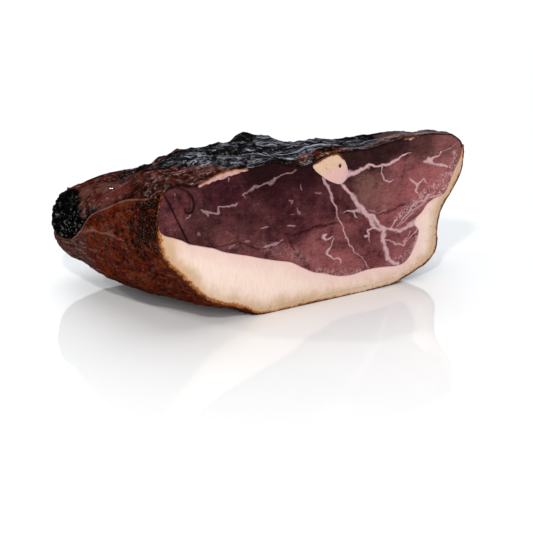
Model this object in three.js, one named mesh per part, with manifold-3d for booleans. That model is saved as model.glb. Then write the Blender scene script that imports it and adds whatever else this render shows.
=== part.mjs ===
// Smoked mangalitsa ham, one boneless piece cut across so that its lean, its thick fat and its
// seam fat show on a flat face. Millimetres, +Z up. The cut face looks towards -Y.
import * as THREE from "three";
import { mergeVertices } from "three/addons/utils/BufferGeometryUtils.js";
import Module from "manifold-3d";

const wasm = await Module();
wasm.setup();

// Driving dimensions of the whole piece
const FACE_LEFT = -76.5;
const FACE_RIGHT = 178.5;
const FACE_HEIGHT = 111.5;
const HAM_DEPTH = 150;
const RESTING_SINK = 2;
const PIECE_GAP = 0.3;
const SPACE_OVERSHOOT = 8;

// The cut face, walked from its lower front corner up the left edge, over the top and back
const FACE_OUTLINE = [
  [0, 0], [-8, 4.2], [-18, 8.4], [-27, 10.6], [-34.5, 13.8], [-42, 18.8], [-48.5, 24.6],
  [-55, 32], [-61.5, 39.4], [-68, 46.4], [-73, 54], [-75.6, 62], [FACE_LEFT, 72], [-76.2, 82],
  [-74.8, 91], [-71.3, 103.8], [-65, 105], [-58, 105], [-51.6, 103], [-46, 102.8],
  [-39.3, 105.2], [-28.8, 108.6], [-15.3, 109.6], [-2, 108.2], [8, 109.2], [18, 108.2],
  [28, 104.4], [36, 103], [46, 105], [56, 108.5], [68, 109], [86, 108], [103, 108],
  [120, 110], [141, FACE_HEIGHT], [156, 110], [169, 106.5], [176, 101], [FACE_RIGHT, 94],
  [178, 86.5], [177, 79.6], [174.9, 74.4], [171, 68], [167, 62.3], [163, 57], [159.8, 51.8],
  [157.8, 45.4], [156.8, 39], [156.3, 33.6], [157, 29], [156.5, 23], [154.8, 18.5], [151, 14],
  [146.5, 10.4], [140.5, 8], [133.5, 5.4], [127, 3.2], [120, 0.8], [90, -1], [50, -1], [20, -1],
];

// Where the fat meets the lean on the cut face, from the right lip under the lean to the left lip
const FAT_LINE = [
  [176.2, 97], [174.8, 90], [171, 83], [167.6, 76], [164.2, 68.5], [160, 63.2], [152, 61.2],
  [145.8, 58.2], [140.8, 52.6], [135.6, 48.4], [134.4, 44.2], [138.4, 39.2], [138.2, 35],
  [136.6, 30], [134, 24.5], [130.5, 19.5], [126, 15.9], [119.5, 14.9], [104, 16.4], [92, 16.6],
  [80, 15.3], [68, 16.7], [56, 20.8], [47.5, 23.3], [38.5, 28.2], [28, 34.4], [16, 38],
  [4, 41.8], [-6, 45.4], [-17, 48.9], [-27, 52.4], [-34, 56], [-44, 59.4], [-53, 62.6],
  [-58.5, 66], [-64, 68.4], [-70, 70.8], [-72.8, 73.5], [-74, 79], [-73.4, 87], [-72.4, 93.5],
  [-70.2, 101],
];

// Cross-sections parallel to the cut face: depth, left, right, underside and top
const SECTIONS = [
  [0, FACE_LEFT, FACE_RIGHT, 0, FACE_HEIGHT],
  [20, -81, 176, -RESTING_SINK, 113.5],
  [45, -84.5, 162, -RESTING_SINK, 115],
  [70, -88, 137, -RESTING_SINK, 109],
  [95, -91.5, 104, 2.5, 95],
  [115, -93, 68, 7.5, 83],
  [130, -93, 30, 11, 77],
  [142, -89, -10, 19.5, 70],
  [147, -82, -34, 29, 63],
  [149.5, -71, -50, 37, 54],
  [HAM_DEPTH, -61, -59, 44, 47],
];

// Where the rind ends: share of the way round each section, at the left and at the right
const LEFT_LIP = [[0, 0.223], [13, 0.208], [40, 0.196], [58, 0.184], [80, 0.172], [90, 0.155],
  [107, 0.136], [122, 0.128], [HAM_DEPTH, 0.128]];
const RIGHT_LIP = 0.62;
const LIP = { step: 2.2, groove: 0.016, grooveReach: 1.6, reliefReach: 3, fullFrom: 0.1 };

// The body behind the face, and the rind on its fat
const RIND_THICKNESS = 2.6;
const LIP_TO_FULL_FAT = 0.09;
const FACE_TO_BODY_BLEND = 60;
const SECTION_ROUNDNESS = 2.6;
const SHOULDER = { drop: 0.3, blend: 45, start: -0.35 };

// Wrinkles of the dried crust: they follow hyperbolas round a corner left of and before the face
const WRINKLES = { height: 1.1, step: 0.42, left: 22, front: 12, fadeIn: 8, fadeOut: 20 };

// Swells and hollows of the crust, seen from above; the first one is the knob on the crest
const SWELLS = [
  { x: 20, depth: 53, radius: 11, height: 4.8 },
  { x: 33, depth: 44, radius: 12, height: 2.6 },
  { x: -38, depth: 50, radius: 20, height: 2 },
  { x: -50, depth: 80, radius: 34, height: -7 },
  { x: -2, depth: 70, radius: 34, height: -4 },
  { x: 60, depth: 50, radius: 22, height: -5.5 },
  { x: 110, depth: 25, radius: 33, height: 3.6 },
];
const SWELL_CORE = 0.35;

// The facet at the left of the cut face, and the groove before the blunt end
const FACET_EDGE = { x: -55, lean: 0.22, slope: 0.2, fade: 40 };
const TIP_COLLAR = { depth: 112, width: 7, groove: 2.2, reach: 0.6 };

// Seam fat between the two big muscles
const SEAM_FAT_OUTLINE = [
  [61, 105.4], [67.5, 104.5], [71.5, 100], [74.6, 94], [74, 89], [69, 85.5], [59.5, 89],
  [53, 93.7], [47.5, 98.5], [46, 102.5], [53, 104.6],
];
const SEAM_FAT = { depth: 34, taper: 0.96, cutBefore: 2 };

// Fineness of the solids
const ROUND_STEPS = 1200;
const CRUST_STEPS = 40;
const SKIN_STEPS = 46;
const DEPTH_STEPS = 22;
const FAT_LINE_STEPS = 160;
const FACE_RINGS = 5;
const SEAM_STEPS = { round: 26, along: 8 };
const SAME_POINT = 1e-4;
const LEAST_LENGTH = 1e-6;

const leanMaterial = new THREE.MeshStandardMaterial({ color: 0x6b3034, roughness: 0.55, metalness: 0 });
const fatMaterial = new THREE.MeshStandardMaterial({ color: 0xecd2bd, roughness: 0.45, metalness: 0 });
const seamMaterial = new THREE.MeshStandardMaterial({ color: 0xe9c4b4, roughness: 0.45, metalness: 0 });

const mix = (a, b, share) => a + (b - a) * share;

// Rises smoothly from 0 at the first value to 1 at the second, whichever of them is the larger
function smoothstep(from, to, value) {
  const t = THREE.MathUtils.clamp((value - from) / (to - from), 0, 1);
  return t * t * (3 - 2 * t);
}

// One number read off a table of [place, value] rows along a curve that never overshoots them
function readTable(rows, place, column = 1) {
  const last = rows.length - 1;
  const at = THREE.MathUtils.clamp(place, rows[0][0], rows[last][0]);
  let row = rows.findIndex((entry, index) => index < last && at <= rows[index + 1][0]);
  row = Math.max(row, 0);
  const rise = (index) => {
    const [from, to] = [rows[index], rows[index + 1]];
    return (to[column] - from[column]) / (to[0] - from[0]);
  };
  const slope = (index) => {
    if (index === 0 || index === last) {
      return rise(Math.min(index, last - 1));
    }
    const [before, after] = [rise(index - 1), rise(index)];
    return before * after <= 0 ? 0 : (2 * before * after) / (before + after);
  };
  const [start, end] = [rows[row], rows[row + 1]];
  const width = end[0] - start[0];
  const t = (at - start[0]) / width;
  return start[column] * (1 + 2 * t) * (1 - t) ** 2
    + end[column] * t * t * (3 - 2 * t)
    + width * (slope(row) * t * (1 - t) ** 2 - slope(row + 1) * t * t * (1 - t));
}

// Evenly spaced points of a smooth curve through the given points
function smoothCurve(points, count, closed) {
  const corners = points.map(([x, z]) => new THREE.Vector3(x, 0, z));
  const curve = new THREE.CatmullRomCurve3(corners, closed, "centripetal");
  curve.arcLengthDivisions = ROUND_STEPS;
  return curve.getSpacedPoints(closed ? count : count - 1).slice(0, count);
}

const faceCurve = smoothCurve(FACE_OUTLINE, ROUND_STEPS, true);
const faceMiddle = { x: (FACE_LEFT + FACE_RIGHT) / 2, z: FACE_HEIGHT / 2 };
const faceHalf = { x: (FACE_RIGHT - FACE_LEFT) / 2, z: FACE_HEIGHT / 2 };

// A point of the cut face as an angle and a reach from the middle of its box
function polar(x, z) {
  const a = (x - faceMiddle.x) / faceHalf.x;
  const b = (z - faceMiddle.z) / faceHalf.z;
  return { angle: Math.atan2(b, a), reach: Math.hypot(a, b) };
}

// The section at a depth: its middle, its half sizes and how far it has left the face's shape
function sectionAt(depth) {
  const [left, right, low, high] = [1, 2, 3, 4].map((column) => readTable(SECTIONS, depth, column));
  return {
    depth,
    x: (left + right) / 2,
    z: (low + high) / 2,
    halfX: (right - left) / 2,
    halfZ: (high - low) / 2,
    round: smoothstep(0, FACE_TO_BODY_BLEND, depth),
    drop: SHOULDER.drop * smoothstep(0, SHOULDER.blend, depth),
  };
}

// Carries an angle and a reach, with the reach of the face's edge there, back to a section
function carry(section, angle, reach, edgeReach) {
  const [c, s] = [Math.cos(angle), Math.sin(angle)];
  const power = SECTION_ROUNDNESS;
  const roundReach = (Math.abs(c) ** power + Math.abs(s) ** power) ** (-1 / power);
  const scale = mix(reach, (reach / edgeReach) * roundReach, section.round);
  const across = scale * c;
  let up = scale * s;
  if (up > 0) {
    up *= 1 - section.drop * smoothstep(SHOULDER.start, 1, across);
  }
  return { x: section.x + section.halfX * across, z: section.z + section.halfZ * up };
}

// The direction from a point of a section's edge towards its long middle line
function inward(section, point) {
  const spine = Math.max(section.halfX - section.halfZ, 0);
  const x = THREE.MathUtils.clamp(point.x, section.x - spine, section.x + spine);
  const direction = new THREE.Vector2(x - point.x, section.z - point.z);
  return direction.length() > LEAST_LENGTH ? direction.normalize() : new THREE.Vector2(0, 1);
}

// Height of the crust's relief at a place seen from above: the wrinkles, the swells and the hollows
function crustRelief(x, depth) {
  const flow = Math.log((x - FACE_LEFT + WRINKLES.left) * (depth + WRINKLES.front));
  const fromFace = smoothstep(0, WRINKLES.fadeIn, depth);
  const fromEnd = smoothstep(HAM_DEPTH, HAM_DEPTH - WRINKLES.fadeOut, depth);
  let height = WRINKLES.height * Math.cos((2 * Math.PI * flow) / WRINKLES.step) * fromFace * fromEnd;
  for (const swell of SWELLS) {
    const away = Math.hypot(x - swell.x, depth - swell.depth) / swell.radius;
    height += swell.height * smoothstep(1, SWELL_CORE, away);
  }
  return height;
}

// A point of the cut face's edge, by its share of the way round
function facePoint(share) {
  const index = (((share % 1) + 1) % 1) * ROUND_STEPS;
  const [before, after] = [Math.floor(index) % ROUND_STEPS, Math.ceil(index) % ROUND_STEPS];
  return faceCurve[before].clone().lerp(faceCurve[after], index - Math.floor(index));
}

// A point of the ham's outer surface, by its share of the way round and its depth
function skinPoint(share, section) {
  const corner = facePoint(share);
  const { angle, reach } = polar(corner.x, corner.z);
  const point = carry(section, angle, reach, reach);
  const collar = (section.depth - TIP_COLLAR.depth) / TIP_COLLAR.width;
  const pinch = TIP_COLLAR.groove * Math.exp(-collar * collar);
  const direction = inward(section, point);
  const leftShare = (section.x - point.x) / section.halfX;
  point.x += direction.x * pinch * smoothstep(0, TIP_COLLAR.reach, leftShare);
  return point;
}

// The same point of the crust, set back at the lips and raised by the relief
function crustPoint(share, section, leftLip) {
  const point = skinPoint(share, section);
  const fromLip = Math.min(share - leftLip, RIGHT_LIP - share) / LIP.groove;
  const size = smoothstep(0, LIP.fullFrom, section.halfZ / faceHalf.z);
  const step = LIP.step * smoothstep(LIP.grooveReach, 0, fromLip) * size;
  const relief = crustRelief(point.x, section.depth) * smoothstep(0, LIP.reliefReach, fromLip);
  const direction = inward(section, point);
  point.x += direction.x * (step - relief);
  point.z += direction.y * (step - relief);
  return point;
}

// Reach of the fat line from the middle of the face, as a share of the edge's reach there
const fatLine = smoothCurve(FAT_LINE, FAT_LINE_STEPS, false).map(({ x, z }) => polar(x, z));
const fullTurn = 2 * Math.PI;
const unwind = (angle) => (((fatLine[0].angle - angle) % fullTurn) + fullTurn) % fullTurn;

function fatLineShare(angle, edgeReach) {
  const turn = unwind(angle);
  const after = fatLine.findIndex((entry, index) => index > 0 && unwind(entry.angle) >= turn);
  if (after < 0) {
    return 1;
  }
  const [low, high] = [fatLine[after - 1], fatLine[after]];
  const from = after === 1 ? 0 : unwind(low.angle);
  const step = (turn - from) / Math.max(unwind(high.angle) - from, LEAST_LENGTH);
  return Math.min(mix(low.reach, high.reach, step) / edgeReach, 1);
}

// A point of the hidden surface between fat and lean: under the skin it follows the fat line,
// and near the lips only the rind covers the lean
function innerPoint(share, section, leftLip) {
  const corner = facePoint(share);
  const { angle, reach } = polar(corner.x, corner.z);
  const outer = skinPoint(share, section);
  const length = Math.hypot(outer.x - section.x, outer.z - section.z);
  const rind = RIND_THICKNESS / Math.max(length, 2 * RIND_THICKNESS);
  const fromLip = (1 + leftLip - share) / LIP_TO_FULL_FAT;
  const fat = 1 - fatLineShare(angle, reach);
  const cover = Math.max(mix(rind, fat, mix(1, smoothstep(0, 1, fromLip), section.round)), rind);
  return { x: mix(outer.x, section.x, cover), z: mix(outer.z, section.z, cover) };
}

// How far the cut face lies back at a place: the facet at its left turns away
function faceSetback(x, z) {
  const edge = FACET_EDGE.x - (z - faceMiddle.z) * FACET_EDGE.lean;
  return Math.max(edge - x, 0) * FACET_EDGE.slope;
}

function depthOfStep(step) {
  return HAM_DEPTH * Math.sin((step / DEPTH_STEPS) * (Math.PI / 2));
}

// Places a point of a section in space, flat where the ham rests and set back at the facet
function place(point, section) {
  const back = faceSetback(point.x, point.z) * smoothstep(FACET_EDGE.fade, 0, section.depth);
  return [point.x, section.depth + back, Math.max(point.z, 0)];
}

// A closed solid from rings of points. Walls join the rings, and each end is closed by smaller
// rings round its middle: as many as frontRings says at the front, and none at the back
function solidFromRings(rings, frontRings) {
  const positions = [];
  const faces = [];
  const count = rings[0].length;
  rings.forEach((ring) => ring.forEach((point) => positions.push(...point)));
  for (let r = 0; r + 1 < rings.length; r += 1) {
    for (let i = 0; i < count; i += 1) {
      const next = (i + 1) % count;
      const [a, b] = [r * count + i, r * count + next];
      faces.push(a, b, b + count, a, b + count, a + count);
    }
  }
  closeEnd(positions, faces, { start: 0, count, ringCount: frontRings, atBack: false });
  closeEnd(positions, faces, { start: (rings.length - 1) * count, count, ringCount: 1, atBack: true });
  const geometry = new THREE.BufferGeometry();
  geometry.setAttribute("position", new THREE.Float32BufferAttribute(positions, 3));
  geometry.setIndex(faces);
  return geometry;
}

// Closes the ring of points that starts at a place in the list, with rings that shrink to its
// middle. Rings of a front end with several keep the cut face's own facet.
function closeEnd(positions, faces, { start, count, ringCount, atBack }) {
  const edge = positions.slice(start * 3, (start + count) * 3);
  const middle = [0, 1, 2].map((axis) => {
    let sum = 0;
    for (let i = 0; i < count; i += 1) {
      sum += edge[i * 3 + axis];
    }
    return sum / count;
  });
  const push = (a, b, c) => faces.push(...(atBack ? [a, b, c] : [a, c, b]));
  let outer = start;
  for (let ring = 1; ring < ringCount; ring += 1) {
    const inner = positions.length / 3;
    for (let i = 0; i < count; i += 1) {
      const x = mix(edge[i * 3], middle[0], ring / ringCount);
      const z = mix(edge[i * 3 + 2], middle[2], ring / ringCount);
      positions.push(x, faceSetback(x, z), z);
    }
    for (let i = 0; i < count; i += 1) {
      const next = (i + 1) % count;
      push(outer + i, outer + next, inner + next);
      push(outer + i, inner + next, inner + i);
    }
    outer = inner;
  }
  const tip = positions.length / 3;
  positions.push(middle[0], middle[1], middle[2]);
  for (let i = 0; i < count; i += 1) {
    push(outer + i, outer + (i + 1) % count, tip);
  }
}

function toManifold(geometry) {
  const merged = mergeVertices(geometry, SAME_POINT);
  return new wasm.Manifold(new wasm.Mesh({
    numProp: 3,
    vertProperties: new Float32Array(merged.attributes.position.array),
    triVerts: new Uint32Array(merged.index.array),
  }));
}

function toGeometry(manifold) {
  const mesh = manifold.getMesh();
  const geometry = new THREE.BufferGeometry();
  geometry.setAttribute("position", new THREE.BufferAttribute(new Float32Array(mesh.vertProperties), 3));
  geometry.setIndex(new THREE.BufferAttribute(new Uint32Array(mesh.triVerts), 1));
  return geometry;
}

// The shares of the way round at which the crust and then the skin are sampled
function sampleShares(leftLip) {
  const spread = (from, to, length) => {
    return Array.from({ length }, (_, i) => mix(from, to, i / (length - 1)));
  };
  return {
    crust: spread(leftLip, RIGHT_LIP, CRUST_STEPS),
    skin: spread(RIGHT_LIP, 1 + leftLip, SKIN_STEPS),
  };
}

// The whole ham: its crust above, the rind below and at the sides, and a step where they meet
function makeBody() {
  const rings = [];
  for (let step = 0; step <= DEPTH_STEPS; step += 1) {
    const section = sectionAt(depthOfStep(step));
    const leftLip = readTable(LEFT_LIP, section.depth);
    const { crust, skin } = sampleShares(leftLip);
    rings.push([
      ...crust.map((share) => place(crustPoint(share, section, leftLip), section)),
      ...skin.map((share) => place(skinPoint(share, section), section)),
    ]);
  }
  return solidFromRings(rings, FACE_RINGS);
}

// The space that the lean fills: it reaches past the crust, and stops at the fat elsewhere
function makeLeanSpace() {
  const rings = [];
  for (let step = 0; step <= DEPTH_STEPS; step += 1) {
    const section = sectionAt(depthOfStep(step));
    const leftLip = readTable(LEFT_LIP, section.depth);
    const { crust, skin } = sampleShares(leftLip);
    const ends = { 0: -SPACE_OVERSHOOT, [DEPTH_STEPS]: SPACE_OVERSHOOT };
    const overshoot = ends[step] ?? 0;
    const lift = (point) => [point.x, section.depth + overshoot, point.z];
    const outside = (share) => {
      const point = skinPoint(share, section);
      const direction = inward(section, point);
      return {
        x: point.x - direction.x * SPACE_OVERSHOOT,
        z: point.z - direction.y * SPACE_OVERSHOOT,
      };
    };
    rings.push([
      ...crust.map((share) => lift(outside(share))),
      ...skin.map((share) => lift(innerPoint(share, section, leftLip))),
    ]);
  }
  return solidFromRings(rings, 1);
}

// The seam fat: a knot that narrows as it runs back between the muscles. A grown copy, which
// cuts its place in the lean, starts before the face.
function makeSeamFat(grow) {
  const steps = SEAM_STEPS.along;
  const curve = smoothCurve(SEAM_FAT_OUTLINE, SEAM_STEPS.round, true);
  const middle = new THREE.Vector3();
  curve.forEach((point) => middle.addScaledVector(point, 1 / curve.length));
  const before = grow > 0 ? SEAM_FAT.cutBefore : 0;
  const rings = [];
  for (let step = 0; step <= steps; step += 1) {
    const share = step / steps;
    const scale = Math.sqrt(1 - (SEAM_FAT.taper * share) ** 2);
    const depth = (SEAM_FAT.depth + grow) * share - before * (1 - share);
    rings.push(curve.map((point) => {
      const out = new THREE.Vector2(point.x - middle.x, point.z - middle.z);
      out.setLength(out.length() * scale + grow);
      return [middle.x + out.x, depth, middle.z + out.y];
    }));
  }
  return solidFromRings(rings, 1);
}

// A copy of a closed surface, moved outwards along its corners' normals
function grow(geometry, distance) {
  const grown = mergeVertices(geometry, SAME_POINT);
  grown.computeVertexNormals();
  const { position, normal } = grown.attributes;
  for (let i = 0; i < position.count; i += 1) {
    const corner = new THREE.Vector3().fromBufferAttribute(position, i);
    corner.addScaledVector(new THREE.Vector3().fromBufferAttribute(normal, i), distance);
    position.setXYZ(i, corner.x, corner.y, corner.z);
  }
  grown.deleteAttribute("normal");
  return grown;
}

// The biggest part of a solid, without the loose scraps that a cut may leave
function largest(manifold) {
  return manifold.decompose().reduce((a, b) => (a.volume() > b.volume() ? a : b));
}

const hamGroup = new THREE.Group();

function addPiece(name, geometry, material) {
  const mesh = new THREE.Mesh(geometry, material);
  mesh.name = name;
  hamGroup.add(mesh);
}

const body = toManifold(makeBody());
const leanSpace = makeLeanSpace();
const lean = body.intersect(toManifold(leanSpace)).subtract(toManifold(makeSeamFat(PIECE_GAP)));
const fat = body.subtract(toManifold(grow(leanSpace, PIECE_GAP)));
addPiece("lean_meat", toGeometry(largest(lean)), leanMaterial);
addPiece("fat_layer", toGeometry(largest(fat)), fatMaterial);
addPiece("seam_fat", makeSeamFat(0), seamMaterial);

// The origin is under the middle of the piece's box, on the surface that it lies on
const box = new THREE.Box3().setFromObject(hamGroup);
hamGroup.position.set(-(box.min.x + box.max.x) / 2, -(box.min.y + box.max.y) / 2, -box.min.z);

export default hamGroup;
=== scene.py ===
"""A smoked mangalitsa ham: one boneless piece, cut across so that its lean and its fat show.

The ham's own sizes are millimetres from the lower front corner of its cut face: u runs along the
face, d goes back into the ham and z is height. Meshes are put into the part's frame in metres.
"""

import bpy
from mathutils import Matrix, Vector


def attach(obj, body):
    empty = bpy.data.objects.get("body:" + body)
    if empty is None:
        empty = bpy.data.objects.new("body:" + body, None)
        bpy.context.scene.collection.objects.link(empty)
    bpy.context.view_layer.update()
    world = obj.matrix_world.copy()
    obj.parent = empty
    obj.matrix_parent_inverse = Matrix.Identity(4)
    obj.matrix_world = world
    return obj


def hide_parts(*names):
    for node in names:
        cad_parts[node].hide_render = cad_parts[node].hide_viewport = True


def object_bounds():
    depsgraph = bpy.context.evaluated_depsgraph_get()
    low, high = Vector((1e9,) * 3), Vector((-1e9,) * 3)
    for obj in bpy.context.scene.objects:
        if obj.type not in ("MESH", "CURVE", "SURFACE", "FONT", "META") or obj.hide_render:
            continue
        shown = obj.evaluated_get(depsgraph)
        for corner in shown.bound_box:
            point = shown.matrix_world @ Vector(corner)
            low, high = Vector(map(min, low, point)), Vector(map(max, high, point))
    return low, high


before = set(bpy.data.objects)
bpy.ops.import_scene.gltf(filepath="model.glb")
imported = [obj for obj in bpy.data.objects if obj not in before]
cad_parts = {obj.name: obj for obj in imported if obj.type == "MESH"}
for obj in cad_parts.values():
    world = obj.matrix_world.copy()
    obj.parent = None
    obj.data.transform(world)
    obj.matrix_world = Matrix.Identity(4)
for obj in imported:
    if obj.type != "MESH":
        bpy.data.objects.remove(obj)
CAD_BOX = [list(corner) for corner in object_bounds()]

import logging
import math
from dataclasses import dataclass
from enum import Enum

import bmesh
import bpy
import numpy as np
from mathutils import Matrix, Vector

Array = np.ndarray
LOG = logging.getLogger("ham")

MM = 0.001
CORNER_ACROSS = -42.4678 * MM
PHOTO_WIDTH = 533
PHOTO_HEIGHT = 536
# Millimetres round the outside, for a share of 1.
ROUND_LENGTH = 625.0
EDGE_POINTS = 1200
FAT_LINE_POINTS = 640
# Straight pieces between two corners, before a curve's points are spaced evenly.
CURVE_STEPS = 24
# Length in millimetres of the straight pieces of a line on the cut face.
LINE_STEP = 1.2
# Places measured against the lines at a time.
BATCH = 4000
# Points closer than this are welded, in metres.
WELD_REACH = 2e-3 * MM
# Edges that turn by more than this stay sharp.
CREASE_DEG = 50.0
# How widely the lean's tone centres blend, in millimetres.
TONE_SPREAD = 6.0
# How far outside the left lip and before the cut the wrinkles turn, in millimetres.
FLOW_BELOW = 14.0
FLOW_AHEAD = 12.0


def ease(start: float, end: float, value: Array) -> Array:
    """Rise smoothly from 0 at start to 1 at end, whichever of the two is larger.

    Args:
        start: Where the result is 0.
        end: Where the result is 1.
        value: The places to read.

    Returns:
        t * t * (3 - 2 * t) of the clipped share t of the way from start to end.
    """
    t = np.clip((value - start) / (end - start), 0.0, 1.0)
    return t * t * (3.0 - 2.0 * t)


def blend(low: Array, high: Array, share: Array) -> Array:
    """Go from low to high by a share of the way."""
    return low + (high - low) * share


def hump(value: Array, middle: float, width: float) -> Array:
    """Give a bell of height 1 at middle, exp(-(distance / width) squared)."""
    return np.exp(-(((value - middle) / width) ** 2))


def read_rows(rows: Array, place: Array) -> Array:
    """Read a table of rows (place, value, value, ...) along curves that never overshoot it.

    Each value is a cubic between two rows, with a slope at each row that is the harmonic mean of
    the slopes on its two sides, or 0 where they differ in sign.

    Args:
        rows: The table, with its places rising.
        place: Where to read it.

    Returns:
        One column for each value, after the shape of place.
    """
    at = np.clip(place, rows[0, 0], rows[-1, 0])
    width = np.diff(rows[:, 0])
    rise = np.diff(rows[:, 1:], axis=0) / width[:, None]
    before, after = rise[:-1], rise[1:]
    total = np.where(before + after == 0.0, 1.0, before + after)
    inner = np.where(before * after > 0.0, 2.0 * before * after / total, 0.0)
    slope = np.vstack([rise[:1], inner, rise[-1:]])
    row = np.clip(np.searchsorted(rows[:, 0], at, side="right") - 1, 0, len(width) - 1)
    t = ((at - rows[row, 0]) / width[row])[..., None]
    step = width[row][..., None]
    start, end = rows[row, 1:], rows[row + 1, 1:]
    level = start * (1.0 + 2.0 * t) * (1.0 - t) ** 2 + end * t * t * (3.0 - 2.0 * t)
    return level + step * (slope[row] * t * (1.0 - t) ** 2 - slope[row + 1] * t * t * (1.0 - t))


def smooth_curve(corners: Array, count: int, closed: bool = False) -> Array:
    """Space points evenly along a smooth curve through the given corners.

    The curve is a centripetal Catmull-Rom spline: its pace between two corners is the square root
    of their distance.

    Args:
        corners: The corners, one row each.
        count: How many points to give.
        closed: Whether the curve comes back to its first corner.

    Returns:
        The points, one row each; a closed curve doesn't repeat its first.
    """
    corners = np.asarray(corners, float)
    if closed:
        line = np.vstack([corners[-1:], corners, corners[:2]])
    else:
        line = np.vstack([2 * corners[:1] - corners[1:2], corners, 2 * corners[-1:] - corners[-2:-1]])
    a, b, c, d = line[:-3], line[1:-2], line[2:-1], line[3:]
    pace = [np.maximum(np.linalg.norm(q - p, axis=1), 1e-9) ** 0.5 for p, q in ((a, b), (b, c), (c, d))]
    ta, tb = pace[0][:, None, None], (pace[0] + pace[1])[:, None, None]
    tc = (pace[0] + pace[1] + pace[2])[:, None, None]
    t = ta + (tb - ta) * np.linspace(0.0, 1.0, CURVE_STEPS, endpoint=False)[None, :, None]
    a, b, c, d = (p[:, None, :] for p in (a, b, c, d))
    ab = (ta - t) / ta * a + t / ta * b
    bc = (tb - t) / (tb - ta) * b + (t - ta) / (tb - ta) * c
    cd = (tc - t) / (tc - tb) * c + (t - tb) / (tc - tb) * d
    left = (tb - t) / tb * ab + t / tb * bc
    right = (tc - t) / (tc - ta) * bc + (t - ta) / (tc - ta) * cd
    dense = ((tb - t) / (tb - ta) * left + (t - ta) / (tb - ta) * right).reshape(-1, corners.shape[1])
    dense = np.vstack([dense, corners[:1] if closed else corners[-1:]])
    length = np.r_[0.0, np.cumsum(np.linalg.norm(np.diff(dense, axis=0), axis=1))]
    stops = np.linspace(0.0, length[-1], count, endpoint=not closed)
    return np.stack([np.interp(stops, length, column) for column in dense.T], axis=-1)


class Noise:
    """Smooth seeded noise of about -1 to 1, the same on each run."""

    def __init__(self, seed: int, cells: int = 32) -> None:
        """Draw one direction for each corner of a block of cells that repeats.

        Args:
            seed: Which noise to draw.
            cells: Cells on each side of the block.
        """
        draw = np.random.default_rng(seed).normal(size=(cells, cells, cells, 3))
        self.slopes = draw / np.linalg.norm(draw, axis=-1, keepdims=True)
        self.cells = cells

    def at(self, x: Array, y: Array, z: Array) -> Array:
        """Sum over a cell's 8 corners of direction times offset, faded by the quintic curve.

        Args:
            x: First coordinate, in cells.
            y: Second coordinate, in cells.
            z: Third coordinate, in cells.

        Returns:
            The noise at each place.
        """
        place = np.stack(np.broadcast_arrays(x, y, z), axis=-1).astype(float)
        cell = np.floor(place).astype(int)
        offset = place - cell
        fade = offset**3 * (offset * (offset * 6.0 - 15.0) + 10.0)
        total = np.zeros(place.shape[:-1])
        for corner in np.ndindex(2, 2, 2):
            index = (cell + corner) % self.cells
            slope = self.slopes[index[..., 0], index[..., 1], index[..., 2]]
            weight = np.prod(np.where(np.array(corner) == 1, fade, 1.0 - fade), axis=-1)
            total += weight * np.sum(slope * (offset - corner), axis=-1)
        return 1.6 * total

    def layers(self, x: Array, y: Array, z: Array, count: int) -> Array:
        """Add octaves, each twice as fine and half as strong as the one before."""
        return sum(self.at(x * 2**k, y * 2**k, z * 2**k + 7 * k) / 2**k for k in range(count))

    def ridges(self, x: Array, y: Array, z: Array) -> Array:
        """Give sharp crests, 1 - 2 * |noise|, of about -1 to 1."""
        return 1.0 - 2.0 * np.abs(self.at(x, y, z))


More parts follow.
